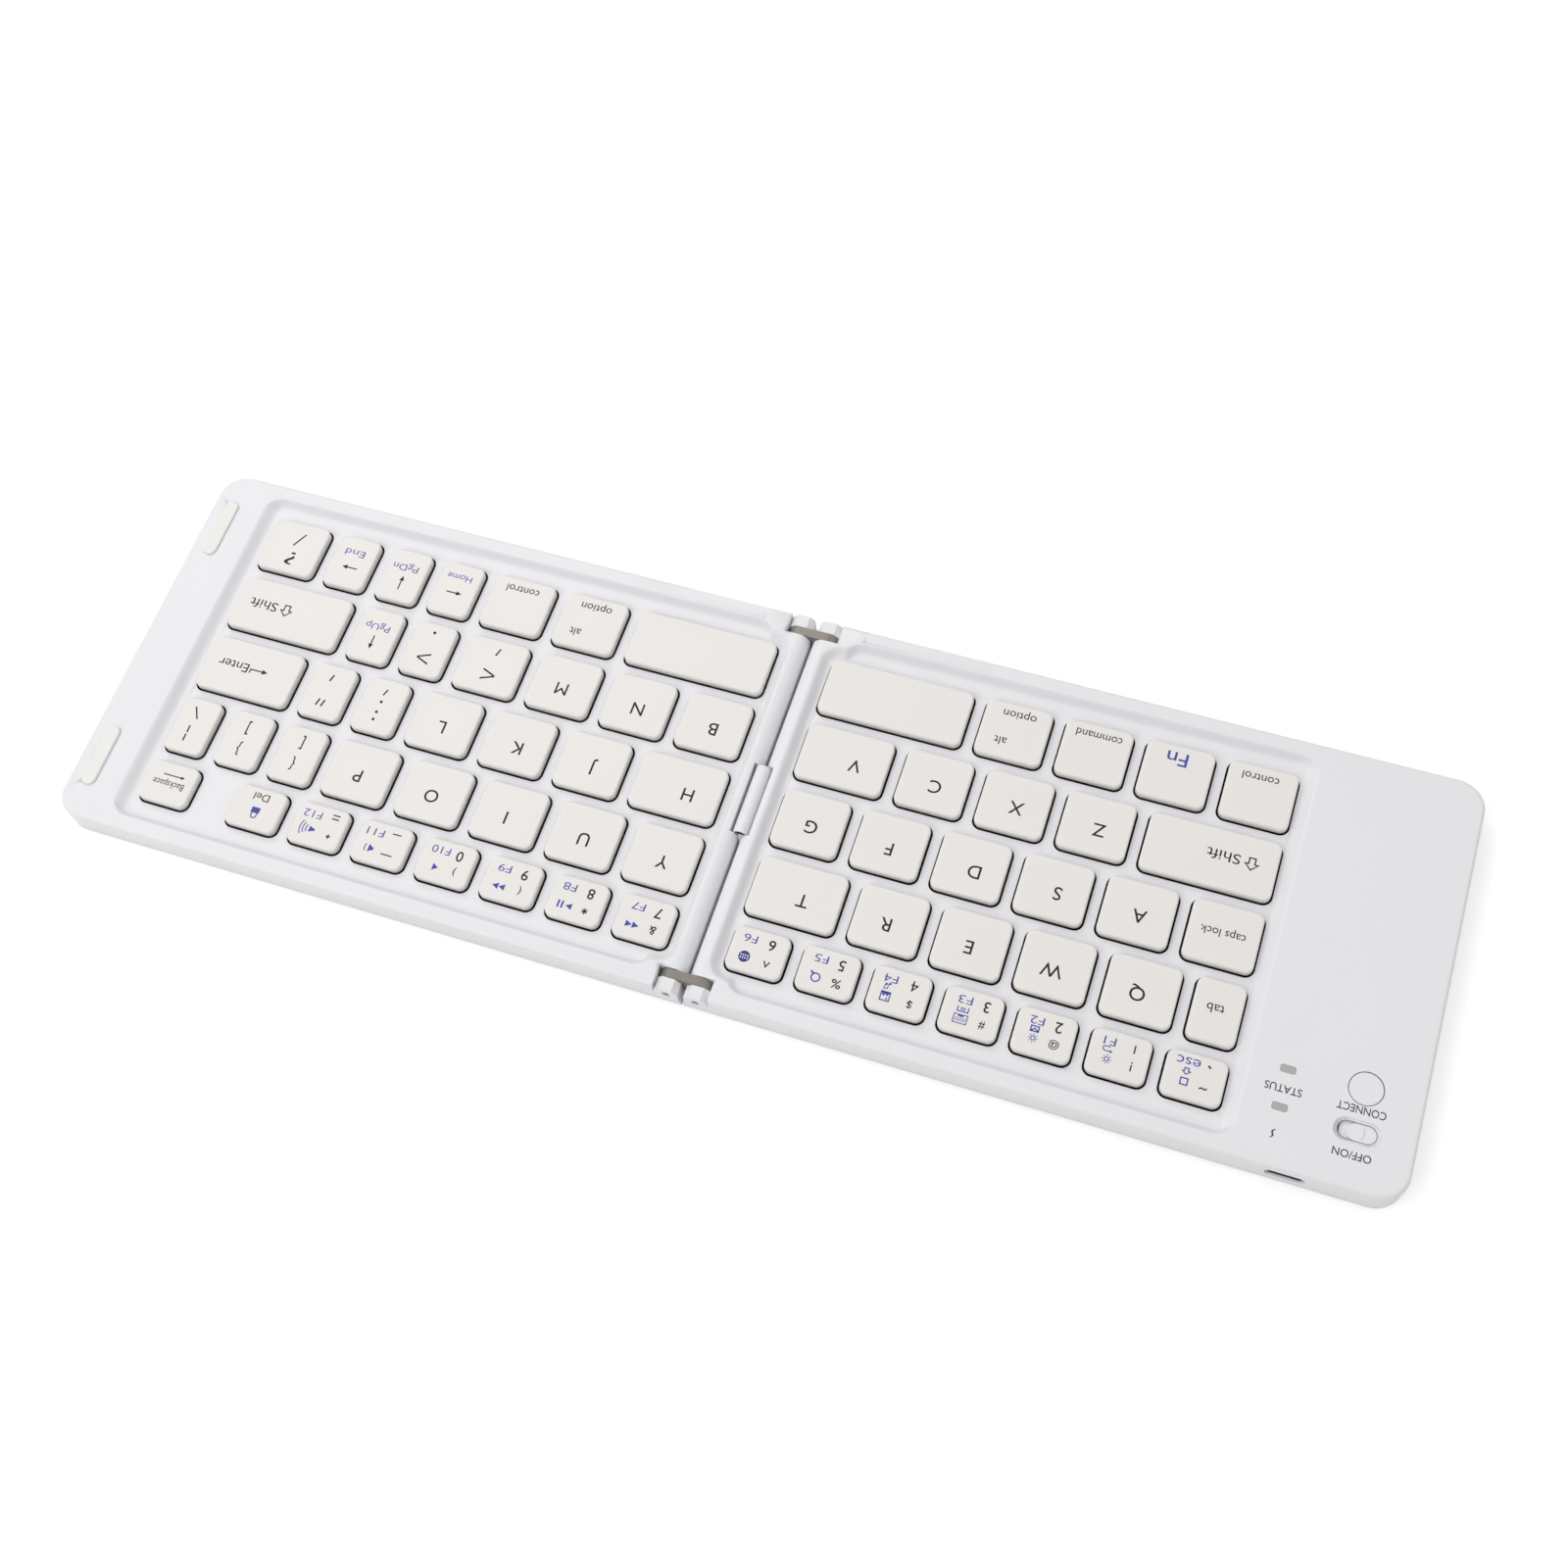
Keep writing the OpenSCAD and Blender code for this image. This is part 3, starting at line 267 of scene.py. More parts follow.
CONTROL = plastic("control_satin", (0.92, 0.92, 0.93), roughness=0.4)
GUIDE = plastic("light_guide", (0.69, 0.696, 0.69), roughness=0.3, depth=0.02, coat=0.2)
PAD = plastic("pad_rubber", (0.93, 0.927, 0.912), roughness=0.6)
FOOT = plastic("foot_rubber", (0.86, 0.86, 0.87), roughness=0.7)
SCREW = plastic("screw_steel", (0.5, 0.5, 0.52), roughness=0.35, metallic=1.0, tone=0.1)
INK = plastic("ink_black", (0.1, 0.1, 0.12), roughness=0.6, tone=0.05)
BLUE = plastic("ink_blue", (0.27, 0.3, 0.66), roughness=0.6, tone=0.05)
GAP = plastic("shaded_gap", (0.42, 0.42, 0.44), roughness=0.8)
GREY = plastic("ink_grey", (0.24, 0.24, 0.26), roughness=0.6, tone=0.05)

finish_of = {
    "left_top_cover": CASE, "right_top_cover": CASE,
    "left_bottom_cover": UNDERSIDE, "right_bottom_cover": UNDERSIDE,
    "left_key_plate": PLATE, "right_key_plate": PLATE,
    "left_dome_sheet": RUBBER, "right_dome_sheet": RUBBER,
    "left_scissors": LEVER, "right_scissors": LEVER,
    "hinge_link_back": LINK, "hinge_link_front": LINK,
    "left_hinge_pins": PIN, "right_hinge_pins": PIN,
    "cable_sleeve": CASE, "flex_cable": FILM,
    "main_board": BOARD, "battery": FOIL, "usb_port": PORT,
    "power_switch": CONTROL, "connect_button": CONTROL, "status_lights": GUIDE,
    "bumper_pads": PAD, "left_feet": FOOT, "right_feet": FOOT,
    "left_screws": SCREW, "right_screws": SCREW}
for name, obj in nodes.items():
    obj.data.materials.clear()
    obj.data.materials.append(finish_of.get(name, CAP))


# ---------- meshes ----------

def make(name, verts, faces, mats, which=None, smooth=True):
    """A mesh object from points in millimetres and lists of corners."""
    mesh = bpy.data.meshes.new(name)
    mesh.from_pydata((np.asarray(verts, float) * MM).tolist(), [], faces)
    for m in mats:
        mesh.materials.append(m)
    if which is not None:
        mesh.polygons.foreach_set("material_index", np.asarray(which, np.int32))
    mesh.polygons.foreach_set("use_smooth", np.full(len(mesh.polygons), smooth))
    mesh.update()
    obj = bpy.data.objects.new(name, mesh)
    bpy.context.scene.collection.objects.link(obj)
    return obj


def round_rect(w, d, r, steps=6):
    """Outline of a rectangle with round corners, anticlockwise: a quarter circle about each
    corner's centre."""
    a = np.concatenate([np.linspace(q, q + math.pi / 2, steps + 1) for q in np.arange(4) * math.pi / 2])
    sx = np.repeat([1, -1, -1, 1], steps + 1) * (w / 2 - r)
    sy = np.repeat([1, 1, -1, -1], steps + 1) * (d / 2 - r)
    return np.stack([sx + r * np.cos(a), sy + r * np.sin(a)], 1)


def joined(parts):
    """One list of points and one of faces from several, each counted on from the last."""
    verts, faces, start = [], [], 0
    for v, f in parts:
        verts.append(v)
        faces += [tuple(i + start for i in face) for face in f]
        start += len(v)
    return np.concatenate(verts), faces


def cap_shell(x, y, w, d):
    """A keycap: rings of the round outline, each shrunk or inset and lowered along a profile that
    runs from the top's middle over the rounded edge, down the skirt, in under the deck, round its
    foot and up to the roof inside. Gives points, faces, how much each point is touched, and the
    faces below the deck's top, which are painted dark as shade."""
    e, r, wall, break_foot = 0.45, 1.7, 0.9, 0.08
    arc = np.linspace(0, math.pi / 2, 7)
    inset = np.concatenate([e - e * np.sin(arc), [0.0, 0.16, 0.2, 0.26, wall - break_foot, wall, wall]])
    level = np.concatenate([KEY_TOP - e + e * np.cos(arc), [
        DECK_TOP + 0.02, DECK_TOP - 0.05, KEY_FOOT + break_foot, KEY_FOOT, KEY_FOOT, KEY_FOOT + break_foot,
        KEY_ROOF]])
    base = round_rect(w, d, r)
    grow = base - round_rect(w - 2, d - 2, r - 1)     # how each point moves for each 1 mm of inset
    face = base - grow * (e + 0.12)
    rings = [np.column_stack([face * k, np.full(len(base), KEY_TOP)]) for k in (0.3, 0.6, 0.85, 1.0)]
    rings += [np.column_stack([base - grow * i, np.full(len(base), z)]) for i, z in zip(inset, level)]
    touch = [1.0, 0.85, 0.4, 0.1, 0.2] + [0.9] * 5 + [0.5] + [0.0] * (len(rings) - 11)
    n = len(base)
    j = np.arange(n)
    faces, dark = [tuple(j)], [0]
    for k in range(len(rings) - 1):
        a, b = k * n, (k + 1) * n
        faces += [tuple(f) for f in np.stack([a + j, b + j, b + (j + 1) % n, a + (j + 1) % n], 1).tolist()]
        # faces below the deck's top take the painted shade
        dark += [int(rings[k][0, 2] < DECK_TOP + 0.03 and k > 4)] * n
    faces.append(tuple((len(rings) - 1) * n + j[::-1]))
    return np.concatenate(rings) + [x, y, 0], faces, np.repeat(touch, n), dark + [1]


def spans(low, high):
    """The separate stretches that a set of overlapping stretches covers."""
    order = np.argsort(low)
    low, high = low[order], np.maximum.accumulate(high[order])
    cut = np.flatnonzero(low[1:] > high[:-1] + 0.2) + 1
    return list(zip(low[np.concatenate([[0], cut])], high[np.concatenate([cut - 1, [len(high) - 1]])]))


def triangles_of(name):
    """A CAD node's triangles, as an array of three points each, in millimetres."""
    mesh = nodes[name].data
    co = np.zeros(len(mesh.vertices) * 3)
    mesh.vertices.foreach_get("co", co)
    corner = np.zeros(len(mesh.loops), np.int64)
    mesh.loops.foreach_get("vertex_index", corner)
    return (co.reshape(-1, 3) / MM)[corner.reshape(-1, 3)]


def caps_in(name):
    """The keycaps of a node, row by row from the back and from left to right, as (middle x,
    middle y, width, depth)."""
    p = triangles_of(name)
    low, high = p.min(1), p.max(1)
    caps = []
    for y0, y1 in reversed(spans(low[:, 1], high[:, 1])):
        row = (low[:, 1] >= y0 - 0.01) & (high[:, 1] <= y1 + 0.01)
        for x0, x1 in spans(low[row, 0], high[row, 0]):
            mine = row & (low[:, 0] >= x0 - 0.01) & (high[:, 0] <= x1 + 0.01)
            ya, yb = low[mine, 1].min(), high[mine, 1].max()
            caps.append(((x0 + x1) / 2, (ya + yb) / 2, x1 - x0, yb - ya))
    return caps


def dress(piece, body, slot, *replaced):
    """Lets a piece move with its body and hides the nodes it stands for; its slot is not used."""
    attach(piece, body)
    if replaced:
        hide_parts(*replaced)


def smooth_copy(name):
    """A copy of a CAD node with its points merged, smooth over the slopes and round corners and
    sharp elsewhere."""
    mesh = nodes[name].data.copy()
    bm = bmesh.new()
    bm.from_mesh(mesh)
    bmesh.ops.remove_doubles(bm, verts=bm.verts, dist=0.002 * MM)
    bm.to_mesh(mesh)
    bm.free()
    mesh.polygons.foreach_set("use_smooth", np.ones(len(mesh.polygons), bool))
    mesh.set_sharp_from_angle(angle=math.radians(28.0))
    obj = bpy.data.objects.new(name + "_skin", mesh)
    bpy.context.scene.collection.objects.link(obj)
    weigh = obj.modifiers.new("flat faces stay flat", "WEIGHTED_NORMAL")
    weigh.keep_sharp = True
    weigh.weight = 100
    dress(obj, body_of[name], slot_of[name], name)


def levers_of(half):
    """The half's scissor levers, cut into one piece for each pressed body. A triangle goes to the
    key whose middle is nearest to its own."""
    node = half + "_scissors"
    tri = triangles_of(node)
    mine = [name for name in nodes if name not in finish_of and parent_of[body_of[name]] == half + "_half"]
    keys = [(name, cap) for name in mine for cap in caps_in(name)]
    away = tri.mean(1)[:, None, :2] - np.array([cap[:2] for _, cap in keys])[None]
    owner = np.hypot(away[..., 0], away[..., 1]).argmin(1)
    for name in mine:
        part = tri[np.isin(owner, [i for i, key in enumerate(keys) if key[0] == name])]
        points, corners = np.unique(np.round(part.reshape(-1, 3), 4), axis=0, return_inverse=True)
        piece = make(name + "_levers", points, corners.reshape(-1, 3).tolist(), [LEVER], smooth=False)
        dress(piece, half + "_half", slot_of[node], node)
        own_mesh(piece)


for name in ("left_top_cover", "right_top_cover", "cable_sleeve", "hinge_link_back", "hinge_link_front"):
    smooth_copy(name)
for half in ("left", "right"):
    levers_of(half)


# ---------- legends ----------

PRINT = 0.03      # thickness of the print, in millimetres
# what the strokes of a text gain on each side, as a share of its size
HEAVY, BOLD, FIRM, FULL, PLAIN, THIN, FINE = 0.01, 0.008, 0.006, 0.004, 0.0, -0.004, -0.008


def unit(vectors):
    return vectors / np.linalg.norm(vectors, axis=1, keepdims=True)


def ribbon(points, width, closed):
    """A line of even width: each point moved half the width to both sides, along the mean of its
    neighbours' normals."""
    p = np.asarray(points, float)
    if closed:
        step = np.roll(p, -1, 0) - p
        before = np.roll(step, 1, 0)
    else:
        step = np.diff(p, axis=0)
        before = np.vstack([step[:1], step])
        step = np.vstack([step, step[-1:]])
    a, b = unit(before), unit(step)
    mean = unit(a + b)
    normal = np.column_stack([-mean[:, 1], mean[:, 0]])
    reach = width / 2 / np.maximum(np.einsum("ij,ij->i", mean, a), 0.5)
    left, right = p + normal * reach[:, None], p - normal * reach[:, None]
    n = len(p)
    flat = np.vstack([left, right])
    verts = np.vstack([np.column_stack([flat, np.full(2 * n, z)]) for z in (PRINT, 0.0)])
    i = np.arange(n if closed else n - 1)
    k = (i + 1) % n
    faces = np.concatenate([
        np.stack([i, n + i, n + k, k], 1), np.stack([2 * n + k, 3 * n + k, 3 * n + i, 2 * n + i], 1),
        np.stack([i, k, 2 * n + k, 2 * n + i], 1),
        np.stack([n + k, n + i, 3 * n + i, 3 * n + k], 1)]).tolist()
    if not closed:
        faces += [[n, 0, 2 * n, 3 * n], [n - 1, 2 * n - 1, 4 * n - 1, 3 * n - 1]]
    return verts, [tuple(f) for f in faces]


def plate(points):
    """A flat filled shape: its outline, turned anticlockwise, raised by the print's thickness."""
    p = np.asarray(points, float)
    after = np.roll(p, -1, 0)
    if (p[:, 0] * after[:, 1] - p[:, 1] * after[:, 0]).sum() < 0:
        p = p[::-1]
    n = len(p)
    i = np.arange(n)
    k = (i + 1) % n
    verts = np.vstack([np.column_stack([p, np.full(n, z)]) for z in (PRINT, 0.0)])
    sides = np.stack([k, i, n + i, n + k], 1).tolist()
    return verts, [tuple(i), tuple(n + i[::-1])] + [tuple(f) for f in sides]


text_cache = {}


def letters(text, weight):
    """Points and faces of a text in the plain built-in face, one unit in size, its strokes wider
    by `weight` on each side. Each text is made once."""
    if (text, weight) not in text_cache:
        curve = bpy.data.curves.new("t", "FONT")
        curve.body = text
        curve.size = 1.0
        curve.resolution_u = 4
        curve.extrude = 0.5
        curve.offset = weight
        obj = bpy.data.objects.new("t", curve)
        bpy.context.scene.collection.objects.link(obj)
        bpy.context.view_layer.update()
        mesh = obj.evaluated_get(bpy.context.evaluated_depsgraph_get()).to_mesh()
        co = np.zeros(len(mesh.vertices) * 3)
        mesh.vertices.foreach_get("co", co)
        text_cache[text, weight] = co.reshape(-1, 3), [tuple(p.vertices) for p in mesh.polygons]
        bpy.data.objects.remove(obj)
        bpy.data.curves.remove(curve)
    return text_cache[text, weight]


CAP_HEIGHT = float(np.ptp(letters("H", PLAIN)[0][:, 1]))


def write(text, x, y, height, width=None, weight=FULL):
    """Text whose capitals are `height` tall and centred on (x, y), drawn out or in to `width`."""
    co, faces = letters(text, weight)
    k = height / CAP_HEIGHT
    v = co.copy()
    across = k if width is None else width / np.ptp(v[:, 0])
    v[:, 0] = (v[:, 0] - (v[:, 0].min() + v[:, 0].max()) / 2) * across + x
    v[:, 1] = v[:, 1] * k - height / 2 + y
    v[:, 2] = (v[:, 2] + 0.5) * PRINT
    return [(v, faces)]


def fill(text, x, y, width, height, weight):
    """Text stretched to a box of `width` and `height` about (x, y), for signs that stand above or
    below the line."""
    co, faces = letters(text, weight)
    v = co.copy()
    for axis, (place, size) in enumerate(((x, width), (y, height))):
        middle = (v[:, axis].min() + v[:, axis].max()) / 2
        v[:, axis] = (v[:, axis] - middle) * size / np.ptp(v[:, axis]) + place
    v[:, 2] = (v[:, 2] + 0.5) * PRINT
    return [(v, faces)]


def line(*points, w=0.24, closed=False):
    return [ribbon(points, w, closed)]


def blot(*points):
    return [plate(points)]


def all_of(marks):
    """One list from several."""
    return sum(marks, [])


def circle(x, y, rx, ry=None, a0=0.0, a1=360.0, steps=20):
    """Points of an ellipse or of a stretch of it, by its angle in degrees."""
    a = np.radians(np.linspace(a0, a1, steps, endpoint=a1 - a0 < 360.0))
    return np.stack([x + rx * np.cos(a), y + (ry or rx) * np.sin(a)], 1)


def ring(x, y, rx, ry=None, w=0.2):
    return line(*circle(x, y, rx, ry), w=w, closed=True)


def disc(x, y, r):
    return blot(*circle(x, y, r, steps=14))


def oblong(x, y, w, h):
    """The four corners of a rectangle about (x, y)."""
    return [(x + i * w / 2, y + j * h / 2) for i, j in ((-1, -1), (1, -1), (1, 1), (-1, 1))]


def box(x, y, w, h, t=0.2):
    return line(*oblong(x, y, w, h), w=t, closed=True)


def arrow(*points, head=1.1, w=0.32):
    """A line that ends in a filled triangle, `head` long and nearly as wide, at its last point."""
    p = np.array(points, float)
    along = (p[-1] - p[-2]) / np.linalg.norm(p[-1] - p[-2])
    side = np.array([-along[1], along[0]]) * head * 0.45
    foot = p[-1] - along * head
    return line(*p[:-1], foot + along * 0.1, w=w) + blot(p[-1], foot + side, foot - side)


def triangle(x, y, w, h, way=1):
    return blot((x - way * w / 2, y - h / 2), (x + way * w / 2, y), (x - way * w / 2, y + h / 2))


def shift_mark(x, y, w, h, t):
    """The hollow arrow of a shift key."""
    stem = w / 4.2
    return line((x, y + h / 2), (x - w / 2, y), (x - stem, y), (x - stem, y - h / 2), (x + stem, y - h / 2),
                (x + stem, y), (x + w / 2, y), w=t, closed=True)


def rays(x, y, near, far, angles, w):
    """Straight strokes about (x, y), from one distance to another, at the given angles in degrees."""
    return all_of(line(*(np.array([x, y]) + np.outer([near, far], [math.cos(a), math.sin(a)])), w=w)
                  for a in np.radians(angles))


def sun(x, y, d):
    return ring(x, y, 0.24 * d, w=0.2) + rays(x, y, 0.36 * d, 0.54 * d, range(0, 360, 45), 0.17)


def return_mark(x, y):
    """An arrow that turns back on itself."""
    bend = line((x - 0.8, y - 0.5), (x + 0.35, y - 0.5), (x + 0.7, y - 0.2), (x + 0.7, y + 0.2),
                (x + 0.35, y + 0.5), (x - 1.0, y + 0.5), w=0.22)
    return bend + triangle(x - 1.1, y + 0.5, 0.55, 0.7, -1)


def envelope(x, y, w, h):
    return box(x, y, w, h, 0.28) + line((x - w / 2, y + h / 2), (x, y - 0.1), (x + w / 2, y + h / 2), w=0.26)


def little_keyboard(x, y, w, h):
    slants = all_of(line((x + u * w / 6 - 0.15, y - 0.3), (x + u * w / 6 + 0.15, y + 0.55), w=0.16)
                    for u in range(-2, 3))
    return box(x, y, w, h) + slants + line((x - w / 5, y - h / 2 + 0.3), (x + w / 5, y - h / 2 + 0.3), w=0.34)


def page_mark(x, y, w, h):
    """A page that runs off the lower edge, with two lines on it."""
    left, right, foot, head = x - w / 2, x + w / 2, y - h / 2, y + h / 2
    edge = line((left, foot), (left, head), (right, head), (right, foot), w=0.24)
    return edge + all_of(line((x - w / 4, y + k * h), (x + w / 4, y + k * h), w=0.2) for k in (0.12, -0.22))


def picture(x, y, w):
    hills = blot((x - w / 2, y - w / 2), (x + w / 2, y - w / 2), (x + w / 4, y + 0.1), (x, y - w / 4),
                 (x - w / 5, y))
    return box(x, y, w, w, 0.26) + hills + disc(x - w / 5, y + w / 4, 0.22)


def notes(x, y):
    heads = disc(x - 0.35, y - 0.55, 0.27) + disc(x + 0.4, y - 0.35, 0.27)
    return heads + line((x - 0.12, y - 0.5), (x, y + 0.6), (x + 0.72, y + 0.75), (x + 0.6, y - 0.3), w=0.18)


def magnifier(x, y, r):
    reach = r * 0.72
    handle = line((x + reach, y - reach), (x + reach + 0.6, y - reach - 0.6), w=0.4)
    return ring(x, y, r, w=0.3) + handle


def globe(x, y, d):
    """Two rounds, one within the other, crossed by a meridian and three parallels."""
    parallels = all_of(line((x - k * d, y + j * d), (x + k * d, y + j * d), w=0.24)
                       for k, j in ((0.5, 0.0), (0.4, 0.27), (0.4, -0.27)))
    rounds = ring(x, y, 0.46 * d, w=0.3) + ring(x, y, d / 4.6, 0.46 * d, w=0.26)
    return rounds + line((x, y - d / 2), (x, y + d / 2), w=0.24) + parallels


def speaker(x, y, w, h, *waves):
    """A loudspeaker's outline, with a curved wave at each distance given from its middle."""
    horn = blot((x - w / 2, y - h / 5), (x - w / 6, y - h / 5), (x + w / 2, y - h / 2),
                (x + w / 2, y + h / 2), (x - w / 6, y + h / 5), (x - w / 2, y + h / 5))
    return horn + all_of(line(*circle(x, y, r, None, -34, 34, 8), w=0.24) for r in waves)


def padlock(x, y, w, h):
    foot, half = y + h / 2, 0.62
    arch = circle(x, foot + 0.6, half, None, 180, 0, 9)
    shackle = line((x - half, foot - 0.1), *arch, (x + half, foot - 0.1), w=0.28)
    return blot(*oblong(x, y, w, h)) + shackle


def black(*marks):
    return [(v, f, 0) for mark in marks for v, f in mark]


def blue(*marks):
    return [(v, f, 1) for mark in marks for v, f in mark]


def word(text, x, y, height, width):
    return black(write(text, x, y, height, width, PLAIN))


def blue_word(text, x, y, height, width):
    return blue(write(text, x, y, height, width, THIN))


# what stands on each key, in millimetres from the keycap's middle: x and y, then height or size
LETTER_PLACE = dict(
    q=(0.6, 1.0), w=(0.55, 1.05), e=(0.25, 1.1), r=(0.3, 1.2), t=(-1.7, 1.2), y=(-0.45, 1.2), u=(-0.15, 1.1),
    i=(0.25, 1.15), o=(0.2, 0.95), p=(0.2, 1.0), a=(-0.5, 1.0), s=(-1.0, 0.9), d=(-0.95, 1.1), f=(-0.1, 1.15),
    g=(-0.5, 1.05), h=(-2.75, 1.35), j=(-0.7, 1.25), k=(-0.4, 1.2), l=(0.05, 1.1), z=(-0.85, 1.0),
    x=(-0.65, 0.95), c=(-0.5, 1.0), v=(-2.75, 1.05), b=(-0.3, 1.2), n=(-0.4, 1.15), m=(0.05, 1.1))
LETTER_HEIGHT = 3.0
# M and 4 keep the face's own weight: with more, their thin corners fold over and fill
legends = {"key_" + c: [black(write(c.upper(), x, y, LETTER_HEIGHT, weight=PLAIN if c == "m" else FULL))]
           for c, (x, y) in LETTER_PLACE.items()}


def asterisk(x, y, r):
    return rays(x, y, -r, r, (30, 90, 150), 0.28)


def number(sign, digit, label, label_x, *marks):
    """A number key: its sign over its digit in black, its function's name and mark in blue."""
    width = 2.5 if label == "F1" else 3.0 if len(label) < 3 else 4.3
    x, height = -2.85 if digit in "134" else -2.5, 1.8 if digit == "1" else 2.35
    return black(sign, write(digit, x, -2.15, height, weight=PLAIN if digit == "4" else BOLD)) \
        + blue_word(label, label_x, -2.5, 1.75, width) + blue(*marks)


bang = line((-2.95, 1.2), (-2.95, 2.6), w=0.3) + disc(-2.95, 0.75, 0.19)
caret = line((-3.2, 1.5), (-2.57, 2.75), (-1.94, 1.5), w=0.3)
tilde = line((-3.0, 1.7), (-2.5, 2.0), (-1.9, 1.75), (-1.35, 2.05), w=0.3)
back_tick = line((-2.8, -2.7), (-2.2, -3.2), w=0.36)
plus = line((-3.75, 1.8), (-2.7, 1.8), w=0.3) + line((-3.22, 1.25), (-3.22, 2.35), w=0.3)
equals = line((-4.05, -2.5), (-2.35, -2.5), w=0.3) + line((-4.05, -3.4), (-2.35, -3.4), w=0.3)
dashes = line((-3.4, 2.2), (-0.75, 2.2), w=0.27) + line((-3.6, -3.0), (-1.5, -3.0), w=0.27)
pause = line((2.8, 0.95), (2.8, 2.65), w=0.42) + line((3.7, 0.95), (3.7, 2.65), w=0.42)

legends["left_number_keys"] = [
    black(tilde, back_tick) + blue_word("esc", 1.8, -2.7, 2.25, 4.9)
    + blue(box(1.83, 1.43, 1.45, 1.4, 0.28), shift_mark(1.8, -0.8, 1.7, 1.35, 0.24)),
    number(bang, "1", "F1", 2.4, sun(2.2, 1.45, 1.85), return_mark(2.75, -0.8)),
    number(fill("@", -2.4, 1.67, 2.2, 2.05, FIRM), "2", "F2", 2.1,
           sun(2.05, 1.45, 1.85), envelope(2.15, -0.6, 1.65, 1.15)),
    number(fill("#", -2.8, 1.93, 1.3, 1.85, FIRM), "3", "F3", 1.8,
           little_keyboard(1.85, 1.85, 2.9, 1.9), page_mark(1.8, -0.35, 2.3, 1.1)),
    number(fill("$", -2.83, 1.87, 1.15, 1.9, HEAVY), "4", "F4", 2.4,
           picture(2.55, 1.6, 1.95), notes(2.6, -0.75)),
    number(fill("%", -2.45, 2.05, 2.15, 2.05, HEAVY), "5", "F5", 2.1, magnifier(2.15, 1.85, 0.93)),
    number(caret, "6", "F6", 2.4, globe(2.5, 1.75, 2.45))]
legends["right_number_keys"] = [
    number(fill("&", -2.53, 1.9, 1.55, 1.95, HEAVY), "7", "F7", 2.15,
           triangle(1.35, 1.9, 1.5, 1.5, -1), triangle(2.9, 1.9, 1.5, 1.5, -1)),
    number(asterisk(-2.47, 2.0, 0.72), "8", "F8", 2.5, triangle(1.3, 1.85, 1.4, 1.5), pause),
    number(fill("(", -2.65, 1.57, 0.62, 2.2, HEAVY), "9", "F9", 2.35,
           triangle(1.5, 1.85, 1.4, 1.5), triangle(3.0, 1.85, 1.4, 1.5)),
    number(fill(")", -2.7, 1.57, 0.62, 2.2, HEAVY), "0", "F10", 2.05, triangle(1.85, 1.7, 1.3, 1.7, -1)),
    black(dashes) + blue_word("F11", 2.35, -2.35, 1.75, 4.1) + blue(speaker(1.9, 1.65, 1.2, 1.9, 1.5)),
    black(plus, equals) + blue_word("F12", 2.3, -2.4, 1.75, 4.4)
    + blue(speaker(1.0, 1.2, 1.35, 1.5, 1.45, 2.2, 2.95)),
    word("Del", -0.25, -2.8, 1.75, 3.75) + blue(padlock(-0.25, 0.5, 2.0, 1.4)),
    word("Backspace", 0.0, 0.35, 1.6, 7.7) + black(arrow((2.1, -1.9), (-3.2, -1.9), head=0.9, w=0.26))]
legends["left_modifier_keys"] = [
    word("tab", 0.35, -0.5, 2.0, 3.7),
    word("caps lock", 0.2, -0.15, 1.85, 9.5),
    word("Shift", -2.65, -0.7, 2.3, 7.2) + black(shift_mark(-8.75, -0.45, 2.8, 2.8, 0.3)),
    word("control", 0.5, -3.9, 1.95, 7.95),
    blue(write("Fn", 0.5, -3.5, 3.2, 4.6)),
    word("command", -0.1, -4.05, 1.95, 10.3),
    word("alt", 2.35, 2.9, 1.95, 2.75) + word("option", -0.3, -4.05, 1.95, 7.5)]
legends["right_modifier_keys"] = [
    word("Enter", 4.45, -0.3, 2.25, 7.6)
    + black(arrow((0.0, 0.65), (0.0, -0.35), (-4.35, -0.35), head=1.4, w=0.3)),
    blue_word("PgUp", 0.2, -2.15, 1.65, 6.1) + black(arrow((-0.02, 0.1), (-0.02, 3.75), head=1.3, w=0.3)),
    word("Shift", 6.9, -0.3, 2.3, 7.0) + black(shift_mark(0.95, -0.15, 2.8, 2.8, 0.3)),
    word("alt", 2.55, 3.05, 1.95, 2.7) + word("option", -0.15, -4.05, 1.95, 7.5),
    word("control", 0.15, -3.9, 1.95, 8.05),
    blue_word("Home", 0.2, -3.15, 1.65, 6.2) + black(arrow((1.85, 1.1), (-1.95, 1.1), head=1.3, w=0.3)),
    blue_word("PgDn", 0.25, -2.15, 1.7, 6.4) + black(arrow((-0.15, 3.9), (-0.15, 0.1), head=1.3, w=0.3)),
    blue_word("End", 0.2, -2.6, 1.75, 5.0) + black(arrow((-2.05, 1.5), (1.8, 1.5), head=1.3, w=0.3))]
